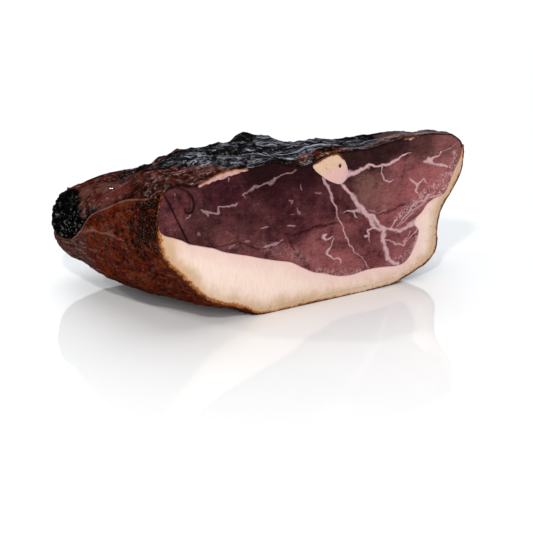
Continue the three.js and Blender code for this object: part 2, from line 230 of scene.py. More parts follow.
@dataclass
class HamForm:
    """The ham's outer form and the hidden line between its fat and its lean, in millimetres."""

    face_left: float = -76.5
    face_right: float = 178.5
    face_height: float = 111.5
    ham_depth: float = 150.0
    resting_sink: float = 2.0
    right_lip: float = 0.62
    lip_step: float = 2.2
    lip_groove: float = 0.016
    rind: float = 2.6
    lip_to_full_fat: float = 0.09
    face_to_body: float = 60.0
    roundness: float = 2.6
    shoulder_drop: float = 0.3
    shoulder_blend: float = 45.0
    collar_depth: float = 112.0
    collar_width: float = 7.0
    collar_groove: float = 2.2
    facet_edge: float = -55.0
    facet_lean: float = 0.22
    facet_slope: float = 0.2
    small_knob: float = 12.0

    def __post_init__(self) -> None:
        """Work out the face's edge, the fat line and the tables from the driving sizes."""
        left, right, high, sink = self.face_left, self.face_right, self.face_height, -self.resting_sink
        edge = [
            (0, 0), (-8, 4.2), (-18, 8.4), (-27, 10.6), (-34.5, 13.8), (-42, 18.8), (-48.5, 24.6),
            (-55, 32), (-61.5, 39.4), (-68, 46.4), (-73, 54), (-75.6, 62), (left, 72), (-76.2, 82),
            (-74.8, 91), (-71.3, 103.8), (-65, 105), (-58, 105), (-51.6, 103), (-46, 102.8),
            (-39.3, 105.2), (-28.8, 108.6), (-15.3, 109.6), (-2, 108.2), (8, 109.2),
            (18, 108.2), (28, 104.4), (36, 103), (46, 105), (56, 108.5), (68, 109), (86, 108), (103, 108),
            (120, 110), (141, high), (156, 110), (169, 106.5), (176, 101), (right, 94),
            (178, 86.5), (177, 79.6), (174.9, 74.4), (171, 68), (167, 62.3), (163, 57),
            (159.8, 51.8), (157.8, 45.4), (156.8, 39), (156.3, 33.6), (157, 29), (156.5, 23),
            (154.8, 18.5), (151, 14), (146.5, 10.4), (140.5, 8), (133.5, 5.4), (127, 3.2),
            (120, 0.8), (90, -1), (50, -1), (20, -1),
        ]
        fat_line = [
            (176.2, 97), (174.8, 90), (171, 83), (167.6, 76), (164.2, 68.5), (160, 63.2),
            (152, 61.2), (145.8, 58.2), (140.8, 52.6), (135.6, 48.4), (134.4, 44.2), (138.4, 39.2),
            (138.2, 35), (136.6, 30), (134, 24.5), (130.5, 19.5), (126, 15.9), (119.5, 14.9),
            (104, 16.4), (92, 16.6), (80, 15.3), (68, 16.7), (56, 20.8), (47.5, 23.3),
            (38.5, 28.2), (28, 34.4), (16, 38), (4, 41.8), (-6, 45.4), (-17, 48.9), (-27, 52.4),
            (-34, 56), (-44, 59.4), (-53, 62.6), (-58.5, 66), (-64, 68.4), (-70, 70.8),
            (-72.8, 73.5), (-74, 79), (-73.4, 87), (-72.4, 93.5), (-70.2, 101),
        ]
        sections = [
            (0, left, right, 0, high), (20, -81, 176, sink, 113.5), (45, -84.5, 162, sink, 115),
            (70, -88, 137, sink, 109), (95, -91.5, 104, 2.5, 95), (115, -93, 68, 7.5, 83),
            (130, -93, 30, 11, 77), (142, -89, -10, 19.5, 70), (147, -82, -34, 29, 63),
            (149.5, -71, -50, 37, 54), (self.ham_depth, -61, -59, 44, 47),
        ]
        left_lip = [
            (0, 0.223), (13, 0.208), (40, 0.196), (58, 0.184), (80, 0.172), (90, 0.155),
            (107, 0.136), (122, 0.128), (self.ham_depth, 0.128),
        ]
        knobs = [
            (20, 53, 11, 4.8), (33, 44, 12, 2.6), (-38, 50, 20, 2.0), (-50, 80, 34, -7.0),
            (-2, 70, 34, -4.0), (60, 50, 22, -5.5), (110, 25, 33, 3.6),
        ]
        self.sections = np.array(sections, float)
        self.lip_rows = np.array(left_lip, float)
        self.knobs = knobs
        self.edge = smooth_curve(edge, EDGE_POINTS, closed=True)
        self.shares = np.arange(EDGE_POINTS) / EDGE_POINTS
        self.middle = np.array([(left + right) / 2, high / 2])
        self.half = np.array([(right - left) / 2, high / 2])
        angle, reach = self.polar(self.edge)
        turn = np.unwrap(-angle)
        line_angle, line_reach = self.polar(smooth_curve(fat_line, FAT_LINE_POINTS))
        line_turn = np.unwrap(-line_angle)
        lip_turn = turn[int(self.right_lip * len(turn))]
        line_turn += 2 * math.pi * np.round((lip_turn - line_turn[0]) / (2 * math.pi))
        shares = np.interp(line_turn, np.r_[turn, turn + 2 * math.pi], np.r_[self.shares, self.shares + 1])
        self.line_share = shares
        self.line_cover = 1.0 - line_reach / np.interp(shares % 1, self.shares, reach, period=1)

    def polar(self, points: Array) -> tuple[Array, Array]:
        """Give angle and reach from the face's middle, in halves of its box."""
        across, up = ((points - self.middle) / self.half).T
        return np.arctan2(up, across), np.hypot(across, up)

    def left_lip(self, depth: Array) -> Array:
        """Share of the way round where the rind ends on the left side."""
        return read_rows(self.lip_rows, depth)[..., 0]

    def section(self, depth: Array) -> tuple[Array, Array, Array, Array]:
        """Middle u, middle z, half width and half height of the section at a depth."""
        left, right, low, high = np.moveaxis(read_rows(self.sections, depth), -1, 0)
        return (left + right) / 2, (low + high) / 2, (right - left) / 2, (high - low) / 2

    def skin(self, share: Array, depth: Array) -> tuple[Array, Array]:
        """Give u and z of the outer surface by share of the way round and depth.

        The face's edge is read as angle and reach. Going back, the reach turns into a rounded
        box's, (|cos|^n + |sin|^n)^(-1/n), the right shoulder drops, and the section's own box
        sets the size. A collar is pinched in before the blunt end.

        Args:
            share: Shares of the way round.
            depth: How far they are behind the cut.

        Returns:
            u and z.
        """
        share, depth = np.broadcast_arrays(share, depth)
        u = np.interp(share % 1, self.shares, self.edge[:, 0], period=1)
        z = np.interp(share % 1, self.shares, self.edge[:, 1], period=1)
        angle, reach = self.polar(np.stack([u, z], axis=-1).reshape(-1, 2))
        angle, reach = angle.reshape(share.shape), reach.reshape(share.shape)
        cosine, sine, power = np.cos(angle), np.sin(angle), self.roundness
        round_reach = (np.abs(cosine) ** power + np.abs(sine) ** power) ** (-1 / power)
        scale = blend(reach, round_reach, ease(0.0, self.face_to_body, depth))
        across, up = scale * cosine, scale * sine
        drop = self.shoulder_drop * ease(0.0, self.shoulder_blend, depth) * ease(-0.35, 1.0, across)
        up = np.where(up > 0.0, up * (1.0 - drop), up)
        mid_u, mid_z, half_u, half_z = self.section(depth)
        u, z = mid_u + half_u * across, mid_z + half_z * up
        toward_u, _ = self.inward(u, z, depth)
        pinch = self.collar_groove * hump(depth, self.collar_depth, self.collar_width)
        return u + toward_u * pinch * ease(0.0, 0.6, (mid_u - u) / half_u), z

    def sunk(self, u: Array, z: Array, depth: Array, move: Array) -> tuple[Array, Array]:
        """Move surface points some millimetres towards the section's long middle line."""
        toward_u, toward_z = self.inward(u, z, depth)
        return u + toward_u * move, z + toward_z * move

    def inward(self, u: Array, z: Array, depth: Array) -> tuple[Array, Array]:
        """Direction from a surface point to the section's long middle line.

        Args:
            u: Places along the face.
            z: Heights of the places.
            depth: How far they are behind the cut.

        Returns:
            The direction's parts along u and z.
        """
        mid_u, mid_z, half_u, half_z = self.section(depth)
        spine = np.maximum(half_u - half_z, 0.0)
        du = np.clip(u, mid_u - spine, mid_u + spine) - u
        dz = mid_z - z
        length = np.maximum(np.hypot(du, dz), 1e-6)
        return du / length, dz / length

    def setback(self, u: Array, z: Array) -> Array:
        """How far the cut face's left facet lies behind the plane of the cut."""
        edge = self.facet_edge - (z - self.face_height / 2) * self.facet_lean
        return np.maximum(edge - u, 0.0) * self.facet_slope

    def inner(self, share: Array, depth: Array) -> tuple[Array, Array]:
        """Give u and z of the hidden line between fat and lean.

        The cover is the share of the way in from the skin to the section's middle. It is the fat
        line's own at the face, and goes down to the rind's thickness near the left lip.

        Args:
            share: Shares of the way round.
            depth: How far they are behind the cut.

        Returns:
            u and z.
        """
        share, depth = np.broadcast_arrays(share, depth)
        u, z = self.skin(share, depth)
        mid_u, mid_z, _, _ = self.section(depth)
        length = np.hypot(u - mid_u, z - mid_z)
        rind = self.rind / np.maximum(length, 2 * self.rind)
        fat = np.interp(share, self.line_share, self.line_cover)
        from_lip = (1.0 + self.left_lip(depth) - share) / self.lip_to_full_fat
        near = blend(1.0, ease(0.0, 1.0, from_lip), ease(0.0, self.face_to_body, depth))
        cover = np.maximum(blend(rind, fat, near), rind)
        cover = np.where(depth == 0.0, fat, cover)
        return blend(u, mid_u, cover), blend(z, mid_z, cover)

    def place(self, u: Array, z: Array, depth: Array) -> Array:
        """Turn ham millimetres into points of the part's frame, flat where the ham rests.

        Args:
            u: Places along the face.
            z: Heights of the places.
            depth: How far they are behind the cut.

        Returns:
            The points, in metres.
        """
        back = self.setback(u, z) * ease(40.0, 0.0, depth)
        x = u * MM + CORNER_ACROSS
        y = (depth + back) * MM + CAD_BOX[0][1]
        return np.stack(np.broadcast_arrays(x, y, np.maximum(z, 0.0) * MM), axis=-1)

    def on_cut(self, u: Array, z: Array, back: Array) -> Array:
        """Points on the plane of the cut, moved back by some millimetres.

        Args:
            u: Places along the face.
            z: Heights of the places.
            back: How far behind the plane they are.

        Returns:
            The points, in metres.
        """
        points = self.place(u, z, 0.0)
        points[..., 1] += back * MM
        return points


FORM = HamForm()


class Skin(Enum):
    """Which finish a face of a mesh takes, by its slot number."""

    CUT = 0
    OUTSIDE = 1


class MeshWork:
    """Gathers grids of points into one closed mesh with named values at its points."""

    def __init__(self) -> None:
        """Start empty."""
        self.points: list[Array] = []
        self.values: list[dict[str, Array]] = []
        self.faces: list[Array] = []
        self.slots: list[Array] = []
        self.count = 0

    def add_points(self, points: Array, **values: Array) -> Array:
        """Add points, and give their numbers in the same arrangement.

        Args:
            points: Places, with the coordinates on the last axis.
            **values: Named values, which are 0 at points that aren't given them.

        Returns:
            The points' numbers.
        """
        shape = points.shape[:-1]
        total = int(np.prod(shape))
        self.points.append(points.reshape(-1, 3))
        self.values.append({name: np.broadcast_to(value, shape).ravel() for name, value in values.items()})
        numbers = np.arange(self.count, self.count + total).reshape(shape)
        self.count += total
        return numbers

    def add_grid(self, points: Array, skin: Skin, **values: Array) -> Array:
        """Add a grid of points and its quads.

        Args:
            points: Places in rows and columns, with the coordinates on the last axis.
            skin: The faces' finish.
            **values: Named values, as in add_points.

        Returns:
            The points' numbers.
        """
        numbers = self.add_points(points, **values)
        corners = [numbers[:-1, :-1], numbers[:-1, 1:], numbers[1:, 1:], numbers[1:, :-1]]
        self.add_faces(np.stack(corners, axis=-1).reshape(-1, 4), skin)
        return numbers

    def add_faces(self, faces: Array, skin: Skin) -> None:
        """Add faces of 3 or 4 corners each.

        Args:
            faces: Point numbers, a row for each face.
            skin: The faces' finish.
        """
        if faces.shape[1] == 3:
            faces = np.hstack([faces, np.full((len(faces), 1), -1)])
        self.faces.append(faces)
        self.slots.append(np.full(len(faces), skin.value))

    def add_fan(self, loop: Array, tip: int, skin: Skin) -> None:
        """Close a row of points with triangles that meet at a tip."""
        tips = np.full(len(loop) - 1, tip)
        self.add_faces(np.stack([loop[:-1], loop[1:], tips], axis=-1), skin)

    def add_zip(self, fine: Array, coarse: Array, skin: Skin) -> None:
        """Join a fine row to a coarse one: a fan for each coarse point, and one triangle between.

        Args:
            fine: Point numbers, a whole number of steps for each step of the coarse row.
            coarse: Point numbers of the coarse row.
            skin: The faces' finish.
        """
        ratio = (len(fine) - 1) // (len(coarse) - 1)
        hub = np.repeat(coarse[:-1], ratio)
        fans = np.stack([fine[:-1], fine[1:], hub], axis=-1)
        joints = np.stack([fine[ratio::ratio], coarse[1:], coarse[:-1]], axis=-1)
        self.add_faces(np.vstack([fans, joints]), skin)

    def build(self, name: str, finishes: list[bpy.types.Material]) -> bpy.types.Object:
        """Make the object, weld the grids' shared edges and mark the creases.

        Args:
            name: The object's name.
            finishes: One material for each slot.

        Returns:
            The object, at the origin.
        """
        points, faces, slots = np.vstack(self.points), np.vstack(self.faces), np.concatenate(self.slots)
        keys = np.round(points / WELD_REACH).astype(np.int64)
        _, first, welded = np.unique(keys, axis=0, return_index=True, return_inverse=True)
        welded = welded.reshape(-1)
        faces = np.where(faces < 0, -1, welded[faces])
        points = points[first]
        mesh = bpy.data.meshes.new(name)
        rows = [tidy_face(row) for row in faces.tolist()]
        good = [number for number, row in enumerate(rows) if len(row) > 2]
        mesh.from_pydata(points.tolist(), [], [rows[number] for number in good])
        mesh.polygons.foreach_set("material_index", slots[good].astype(np.int32))
        mesh.polygons.foreach_set("use_smooth", np.ones(len(good), bool))
        for key in dict.fromkeys(key for values in self.values for key in values):
            parts = [values.get(key, np.zeros(len(part))) for values, part in zip(self.values, self.points)]
            layer = mesh.attributes.new(key, "FLOAT", "POINT")
            layer.data.foreach_set("value", np.concatenate(parts)[first].astype(np.float32))
        for finish in finishes:
            mesh.materials.append(finish)
        mesh.update()
        mesh.validate()
        work = bmesh.new()
        work.from_mesh(mesh)
        bmesh.ops.recalc_face_normals(work, faces=work.faces)
        work.to_mesh(mesh)
        work.free()
        mesh.set_sharp_from_angle(angle=math.radians(CREASE_DEG))
        return add_object(name, mesh)


def add_object(name: str, data: bpy.types.ID) -> bpy.types.Object:
    """Make an object of some data, and put it into the scene.

    Args:
        name: The object's name.
        data: Its mesh, light or camera.

    Returns:
        The object.
    """
    thing = bpy.data.objects.new(name, data)
    bpy.context.scene.collection.objects.link(thing)
    return thing


def tidy_face(row: list[int]) -> list[int]:
    """Drop the empty corner of a triangle and corners that were welded together."""
    corners = [corner for corner in row if corner >= 0]
    return [corner for place, corner in enumerate(corners) if corner != corners[place - 1]]


class Value:
    """A shader socket that takes part in Python arithmetic."""

    def __init__(self, recipe: "Recipe", socket: bpy.types.NodeSocket) -> None:
        """Keep the socket and the recipe that it belongs to."""
        self.recipe = recipe
        self.socket = socket

    def __add__(self, other: "Value | float") -> "Value":
        """Add."""
        return self.recipe.math("ADD", self, other)

    def __sub__(self, other: "Value | float") -> "Value":
        """Subtract."""
        return self.recipe.math("SUBTRACT", self, other)

    def __rsub__(self, other: "Value | float") -> "Value":
        """Subtract from a number."""
        return self.recipe.math("SUBTRACT", other, self)

    def __mul__(self, other: "Value | float") -> "Value":
        """Multiply."""
        return self.recipe.math("MULTIPLY", self, other)

    __radd__ = __add__
    __rmul__ = __mul__

    def sway(self, much: float) -> "Value":
        """Turn a noise of 0 to 1 into one that sways about 0."""
        return (self - 0.5) * much

    def size(self) -> "Value":
        """Take away the sign."""
        return self.recipe.math("ABSOLUTE", self, 0.0)

    def ease(self, start: float, end: float) -> "Value":
        """Rise smoothly from 0 at start to 1 at end, whichever is larger.

        Args:
            start: Where the result is 0.
            end: Where the result is 1.

        Returns:
            The result.
        """
        low, high = min(start, end), max(start, end)
        node = self.recipe.node(
            "ShaderNodeMapRange",
            {"interpolation_type": "SMOOTHSTEP"},
            {"Value": self, "From Min": low, "From Max": high},
        )
        result = Value(self.recipe, node.outputs["Result"])
        return result if start < end else 1.0 - result


Colour = tuple[float, float, float]


class Recipe:
    """One material and the nodes that work out its looks."""

    def __init__(self, name: str) -> None:
        """Make the material, with a principled shader and object coordinates.

        Args:
            name: The material's name.
        """
        self.material = bpy.data.materials.new(name)
        self.material.use_nodes = True
        self.tree = self.material.node_tree
        self.tree.nodes.clear()
        self.shader = self.node("ShaderNodeBsdfPrincipled")
        output = self.node("ShaderNodeOutputMaterial", inputs={"Surface": self.shader.outputs["BSDF"]})
        self.tree.nodes.active = output
        self.places = self.node("ShaderNodeTexCoord").outputs["Object"]

    def node(self, kind: str, settings: dict | None = None, inputs: dict | None = None) -> bpy.types.Node:
        """Add a node.

        Args:
            kind: The node's type.
            settings: Its own settings, which are set first.
            inputs: Values or links of its sockets, by name or number.

        Returns:
            The node.
        """
        node = self.tree.nodes.new(kind)
        for key, setting in (settings or {}).items():
            setattr(node, key, setting)
        for key, value in (inputs or {}).items():
            self.feed(node.inputs[key], value)
        return node

    def feed(self, socket: bpy.types.NodeSocket, value: object) -> None:
        """Link a socket to another, or set its value."""
        if isinstance(value, Value):
            value = value.socket
        if isinstance(value, bpy.types.NodeSocket):
            self.tree.links.new(value, socket)
        elif socket.type == "RGBA":
            socket.default_value = (*value, 1.0)
        else:
            socket.default_value = value

    def math(self, operation: str, first: Value | float, second: Value | float) -> Value:
        """Add a Math node and give its result."""
        node = self.node("ShaderNodeMath", {"operation": operation}, {0: first, 1: second})
        return Value(self, node.outputs[0])

    def given(self, name: str) -> Value:
        """Read one of the mesh's named values."""
        return Value(self, self.node("ShaderNodeAttribute", {"attribute_name": name}).outputs["Fac"])

    def noise(self, size_mm: float, detail: float = 2.0, rough: float = 0.5,
              stretch: Colour = (1.0, 1.0, 1.0), warp: float = 0.0,
              places: Value | None = None) -> Value:
        """Noise of 0 to 1 with cells of a size, longer along the axes with a small stretch.

        Args:
            size_mm: About how large its cells are.
            detail: How many finer layers it has.
            rough: How strong the finer layers are.
            stretch: How many times more cells there are along each axis.
            warp: How much it is bent by itself.
            places: Coordinates to read, in metres; the object's own if not given.

        Returns:
            The noise.
        """
        source = self.places if places is None else places
        places = self.node("ShaderNodeMapping", inputs={"Vector": source, "Scale": stretch})
        node = self.node("ShaderNodeTexNoise", inputs={
            "Vector": places.outputs[0], "Scale": 1.0 / (size_mm * MM), "Detail": detail,
            "Roughness": rough, "Distortion": warp,
        })
        return Value(self, node.outputs["Fac"])

    def plane(self, first: str, second: str) -> Value:
        """Join two of the mesh's named values to coordinates, a millimetre for each unit."""
        parts = {"X": self.given(first) * MM, "Y": self.given(second) * MM}
        return Value(self, self.node("ShaderNodeCombineXYZ", inputs=parts).outputs["Vector"])

    def mix(self, share: Value, low: Value | Colour, high: Value | Colour) -> Value:
        """Go from one colour to another by a share of the way."""
        node = self.node("ShaderNodeMix", {"data_type": "RGBA"}, {0: share, 6: low, 7: high})
        return Value(self, node.outputs[2])

    def coats(self, base: Value | Colour, *coats: tuple[Value, Value | Colour]) -> Value:
        """Lay colours over a base.

        Args:
            base: The colour below them all.
            *coats: A share and a colour each, the lowest first.

        Returns:
            The colour that shows.
        """
        for share, colour in coats:
            base = self.mix(share, base, colour)
        return base

    def relief(self, height: Value, distance_mm: float, under: Value | None = None) -> Value:
        """Turn a height of 0 to 1 into a bent normal, on top of another if given.

        Args:
            height: The height.
            distance_mm: How far a height of 1 stands out.
            under: The normal below it, if any.

        Returns:
            The bent normal.
        """
        inputs = {"Height": height, "Distance": distance_mm * MM, "Strength": 1.0}
        if under is not None:
            inputs["Normal"] = under
        return Value(self, self.node("ShaderNodeBump", inputs=inputs).outputs["Normal"])

    def finish(self, colour: Value, roughness: Value | float, normal: Value | None = None,
               coat: Value | None = None, **sockets: object) -> bpy.types.Material:
        """Feed the shader and give the material.

        Args:
            colour: The base colour.
            roughness: The roughness.
            normal: The bent normal, if any.
            coat: How much of a glossy coat lies on it, if any.
            **sockets: Constant values of other sockets, with _ for each space in their names.

        Returns:
            The finished material.
        """
        self.feed(self.shader.inputs["Base Color"], colour)
        self.feed(self.shader.inputs["Roughness"], roughness)
        if normal is not None:
            self.feed(self.shader.inputs["Normal"], normal)
        if coat is not None:
            self.feed(self.shader.inputs["Coat Weight"], coat)
        for name, value in sockets.items():
            self.feed(self.shader.inputs[name.replace("_", " ")], value)
        return self.material


SOFT_FAT = {"Subsurface_Weight": 0.18, "Subsurface_Scale": 0.003, "Subsurface_Radius": (1.0, 0.5, 0.35),
            "Specular_IOR_Level": 0.06}
WET_COAT = {"Specular_IOR_Level": 0.0, "Coat_Roughness": 0.06, "Coat_IOR": 2.2}


@dataclass(frozen=True)
class LeanFinish:
    """Cured lean on the cut: plum and rose, with pale seams, fine marbling and faint fibres."""

    plum: Colour = (0.036, 0.0065, 0.0105)
    rose: Colour = (0.370, 0.108, 0.112)
    smoky: Colour = (0.011, 0.0035, 0.0035)
    # Painted shade in the knife scores; this colour is used only there.
    burnt: Colour = (0.006, 0.001, 0.0015)
    tan: Colour = (0.215, 0.105, 0.082)
    wine: Colour = (0.040, 0.003, 0.008)
    seam: Colour = (0.63, 0.395, 0.41)
    thin_seam: Colour = (0.34, 0.180, 0.20)
    strip_pink: Colour = (0.58, 0.34, 0.31)
    strip_red: Colour = (0.40, 0.17, 0.16)
    orange: Colour = (0.36, 0.13, 0.04)

    def make(self) -> bpy.types.Material:
        """Make the material.

        Returns:
            The material.
        """
        paint = Recipe("cut_lean")
        fibre = paint.noise(1.8, 4.0, 0.7, (0.30, 1.0, 1.3), 1.6)
        cloud = paint.noise(15.0, 4.0, 0.6, warp=0.5)
        blotch, jag = paint.noise(5.0, 3.0, 0.6), paint.noise(0.9, 3.0, 0.7)
        rim, tone = paint.given("rim"), paint.given("seam_tone")
        warm = (paint.given("warm") + cloud.sway(0.7) + blotch.sway(0.3)).ease(0.0, 1.0)
        smoky = (paint.given("smoky") + cloud.sway(0.5)).ease(0.1, 0.95)
        vein = (paint.noise(7.0, 3.0, 0.6, (0.6, 1.0, 1.2), 2.2) - 0.5).size().ease(0.022, 0.004)
        vein = vein * paint.noise(4.0, 1.0, 0.5).ease(0.42, 0.62) * (0.10 + 0.6 * warm) * (1.0 - smoky)
        speck = paint.noise(2.2, 4.0, 0.7, warp=1.0).ease(0.49, 0.58) * paint.given("speckle")
        seam = (paint.given("seam_side").size() + jag.sway(2.4)).ease(1.6, 0.4)
        seam = seam * paint.given("seam_near").ease(1.9, 1.0)
        pale = paint.coats(self.thin_seam, (tone, self.seam), (blotch.ease(0.40, 0.65) * 0.4, self.thin_seam))
        strip = (paint.given("strip") + jag.sway(1.1) + blotch.sway(0.8)).ease(0.35, 0.65)
        strip_colour = paint.coats(
            self.strip_pink,
            (blotch.ease(0.46, 0.60) * 0.5, self.strip_red),
            ((rim + jag.sway(2.4)).ease(1.7, 0.5), self.orange),
        )
        colour = paint.coats(
            self.plum,
            (warm, self.rose),
            ((paint.given("tan") + blotch.sway(0.4)).ease(0.0, 1.0), self.tan),
            (smoky, self.smoky),
            (paint.given("redline") * 0.95, self.wine),
            (fibre.ease(0.48, 0.80) * (0.05 + 0.10 * warm), paint.mix(warm, self.thin_seam, self.seam)),
            (fibre.ease(0.52, 0.30) * 0.55, self.smoky),
            ((cloud * 0.6 + blotch * 0.5).ease(0.52, 0.40) * 0.35, self.smoky),
            (vein, self.thin_seam),
            (speck * 0.72, self.seam),
            (seam * (0.5 + 0.5 * tone) * (blotch * 1.2 + 0.8 * tone).ease(0.45, 1.25), pale),
            (strip, strip_colour),
            # Painted shade in the knife scores.
            (paint.given("score") * 0.9, self.burnt),
            ((rim + jag.sway(1.8)).ease(1.3, 0.3) * (1.0 - 0.6 * strip), self.smoky),
        )
        normal = paint.relief(fibre * 0.8 + blotch * 0.8 + 0.6 * seam, 0.12)
        rough = 0.40 + 0.25 * blotch - 0.05 * seam
        return paint.finish(colour, rough, normal, Subsurface_Weight=0.06, Subsurface_Scale=0.0015,
                            Subsurface_Radius=(1.0, 0.3, 0.2), Specular_IOR_Level=0.02)


@dataclass(frozen=True)
class FatFinish:
    """Fat on the cut: pink by the lean, cream and then molten orange and brown by the rind."""

    pink: Colour = (0.86, 0.62, 0.57)
    white: Colour = (0.95, 0.76, 0.67)
    cream: Colour = (0.60, 0.405, 0.245)
    rosy: Colour = (0.80, 0.52, 0.49)
    join: Colour = (0.50, 0.22, 0.22)
    tan: Colour = (0.46, 0.25, 0.11)
    orange: Colour = (0.23, 0.052, 0.010)
    amber: Colour = (0.46, 0.175, 0.048)
    brown: Colour = (0.040, 0.0065, 0.0025)

    def make(self) -> bpy.types.Material:
        """Make the material.

        Returns:
            The material.
        """
        paint = Recipe("cut_fat")
        gap, cover, melt = paint.given("skin_gap"), paint.given("lean_gap"), paint.given("melt")
        cloud = paint.noise(10.0, 3.0, 0.6)
        blotch = paint.noise(3.2, 3.0, 0.65)
        grain = paint.noise(1.1, 3.0, 0.7)
        lines = paint.noise(1.3, 3.0, 0.6, (1.8, 1.0, 0.16), 0.4)
        creamy = (gap + cloud.sway(14.0)).ease(17.0, 1.0)
        wander = (gap + cloud.sway(2.4) - 4.4).size().ease(0.42, 0.12)
        wander = wander * grain.ease(0.35, 0.55) * (1.0 - melt)
        melted = gap + blotch.sway(4.5) + grain.sway(2.0) - 3.4 * melt
        colour = paint.coats(
            self.pink,
            ((cover + cloud.sway(14.0)).ease(0.0, 13.0), self.white),
            ((creamy * 0.8 + paint.given("yellow")).ease(0.0, 1.1), self.cream),
            (lines.ease(0.42, 0.70) * 0.20, self.cream),
            (lines.ease(0.5, 0.3) * cover.ease(16.0, 3.0) * 0.35, self.rosy),
            ((gap + blotch.sway(5.0)).ease(4.6, 0.6) * (0.08 + 0.65 * melt), self.tan),
            (wander * 0.4, self.orange),
            (paint.noise(2.0, 1.0, 0.5).ease(0.70, 0.75) * gap.ease(9.0, 3.0), self.orange),
            (melted.ease(1.2, -0.4), paint.mix(grain.ease(0.38, 0.60), self.orange, self.amber)),
            ((melted + cloud.sway(3.0)).ease(-0.6, -2.0) * 0.9, self.brown),
            ((gap + blotch.sway(2.2) + grain.sway(1.2)).ease(1.25, 0.45), self.brown),
            ((cover + grain.sway(1.6)).ease(0.9, 0.0) * gap.ease(1.0, 3.0) * 0.5, self.join),
        )
        normal = paint.relief(lines * 0.6 + grain * 0.4 + blotch * 0.6, 0.14)
        return paint.finish(colour, 0.34 + 0.25 * blotch, normal, **SOFT_FAT)


@dataclass(frozen=True)
class RindFinish:
    """Smoked rind: glossy red-brown, mottled with near-black, purple-grey towards the blunt end."""

    red: Colour = (0.082, 0.0085, 0.0024)
    orange: Colour = (0.150, 0.030, 0.006)
    plum: Colour = (0.080, 0.033, 0.029)
    lilac: Colour = (0.210, 0.112, 0.104)
    umber: Colour = (0.108, 0.026, 0.012)
    crumb: Colour = (0.27, 0.070, 0.022)
    dark: Colour = (0.0045, 0.0018, 0.0015)
    # Painted highlight along the edge under the left lip and on the crest of the low ridge.
    pale: Colour = (0.27, 0.135, 0.105)

    def make(self) -> bpy.types.Material:
        """Make the material.

        Returns:
            The material.
        """
        paint = Recipe("smoked_rind")
        cloud = paint.noise(12.0, 4.0, 0.6, warp=0.6)
        patch = paint.noise(4.5, 3.0, 0.65)
        spots = paint.noise(1.7, 3.0, 0.65)
        grain = paint.noise(0.8, 2.0, 0.6)
        # The smoked patch, darker towards the bottom of the left side, with painted shade in the hollows of
        # the relief.
        shade = paint.given("dark")
        umber = paint.noise(9.0, 3.0, 0.6, warp=0.8).ease(0.48, 0.62)
        plum = (paint.given("tip") + patch.sway(1.2)).ease(0.25, 0.9)
        streak = paint.noise(3.4, 3.0, 0.6, (1.0, 0.28, 1.5), 0.8).ease(0.52, 0.66)
        dark = patch * 0.6 + spots * 0.7 + grain.sway(0.3) + shade * 0.17 - cloud * 0.2
        crumb = (grain * 0.7 + patch * 0.4).ease(0.62, 0.70) * shade.ease(0.4, 0.8)
        colour = paint.coats(
            self.red,
            ((cloud + patch.sway(0.5)).ease(0.48, 0.74), self.orange),
            (umber * 0.7, self.umber),
            (plum * 0.85, self.plum),
            (streak * (0.30 + 0.6 * plum), self.lilac),
            (dark.ease(0.50, 0.68), self.dark),
            (spots.ease(0.42, 0.30) * 0.5, self.orange),
            (crumb * 0.65, self.crumb),
            # Painted highlight along the edge under the left lip and on the crest of the low ridge.
            (paint.given("fold") * (patch * 0.6 + spots * 0.6).ease(0.42, 0.68), self.pale),
        )
        normal = paint.relief(grain, 0.10, paint.relief(spots, 0.40))
        gloss = (spots * 0.6 + grain * 0.5).ease(0.62, 0.70) * (0.25 + 0.3 * shade)
        return paint.finish(colour, 0.35 + 0.3 * patch, normal, gloss, **WET_COAT)


